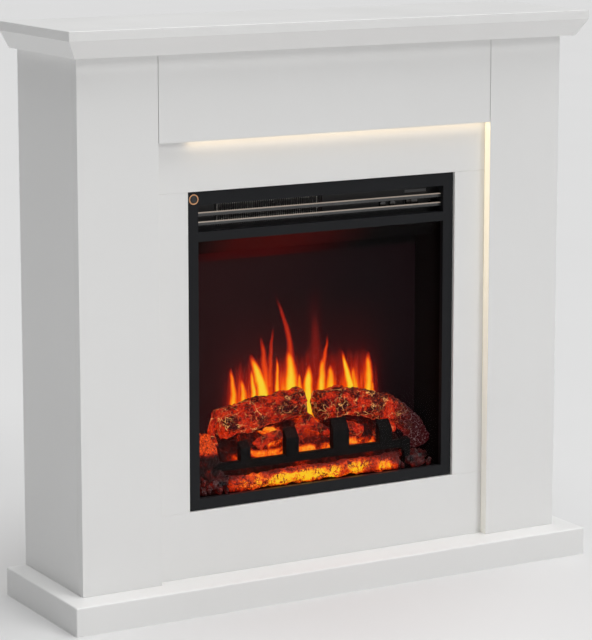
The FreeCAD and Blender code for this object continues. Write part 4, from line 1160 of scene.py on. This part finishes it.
coat(polished_black(), "button_flame", "button_heat", "power_rocker")
coat(smoked_window(), "panel_lenses")

circuit_low, circuit_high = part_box("control_board")
part_jig = Jig("board_parts", {"Columns": 6, "Rows": 4, "Seed": 4})
cells = part_jig.add("GeometryNodeMeshGrid", {},
                     {"Size X": 0.046, "Size Y": 0.030, "Vertices X": part_jig.size["Columns"],
                      "Vertices Y": part_jig.size["Rows"]})
component = part_jig.add("GeometryNodeMeshCube", {}, {"Size": (0.005, 0.004, 0.0024)})
bulk = part_jig.vector(*(part_jig.chance(0.4, most, seed) for seed, most in ((1, 1.2), (2, 1.2), (3, 2.2))))
laid = part_jig.repeated(cells, component, scaled=bulk)
middle = (circuit_low + circuit_high) / 2
middle.y = circuit_high.y + 0.0008
upright = part_jig.moved(laid, by=middle, turned=(math.pi / 2, 0, 0))
fixed(part_jig.made("board_parts", upright, black_plastic), "circuit")

# ---------------------------------------------------------------- studio
# A plain pale floor, an even pale surround, a broad lamp overhead and a softer one in front. A small red
# lamp inside the firebox stands in for the light that the embers throw on its walls.


def studio_floor():
    finish = Finish("studio_floor")
    return finish.surface(
        Base_Color=finish.blend((0.69, 0.69, 0.69), (0.71, 0.71, 0.71), finish.grain(2.0)),
        Roughness=0.6,
    )


def sun(name, energy, colour, spread, place):
    """A far lamp that shines from a place towards the middle of the floor."""
    light = bpy.data.lights.new(name, "SUN")
    light.energy = energy
    light.color = colour
    light.angle = math.radians(spread)
    holder = stood(name, light)
    holder.location = place
    holder.rotation_euler = Vector(place).to_track_quat("Z", "Y").to_euler()


floor_half = 30.0
floor_mesh = patch("studio_floor", (-floor_half, -floor_half, 0), (floor_half, floor_half, 0))
floor_mesh.materials.append(studio_floor())
stood("studio_floor", floor_mesh)

world = bpy.data.worlds.new("studio")
bpy.context.scene.world = world
world.use_nodes = True
backdrop = Bench(world.node_tree)
pale = backdrop.add("ShaderNodeBackground", {}, {"Color": (0.98, 0.99, 1.0, 1), "Strength": 0.15})
backdrop.add("ShaderNodeOutputWorld", {}, {"Surface": pale})

sun("top_light", 2.75, (1.0, 1.0, 1.0), 60, (1.0, -1.0, 10.0))
sun("key", 0.78, (1.0, 0.995, 0.985), 25, (4.0, -8.0, 4.4))

ember_light = bpy.data.lights.new("ember_light", "POINT")
ember_light.energy = 0.25
ember_light.color = (1.0, 0.10, 0.03)
ember_light.shadow_soft_size = 0.02
stood("ember_light", ember_light).location = (0.0, bed_low.y + 0.010, 0.335)

camera_data = bpy.data.cameras.new("camera")
camera_data.lens = 147.58
camera_data.shift_y = -0.1
camera_data.clip_end = 100.0
camera = stood("camera", camera_data)
camera.location = (-2.0223, -3.5131, 1.1786)
camera.rotation_euler = (math.pi / 2 - 0.1626, 0, -0.5194)
bpy.context.scene.camera = camera
bpy.context.scene.view_settings.view_transform = "Standard"
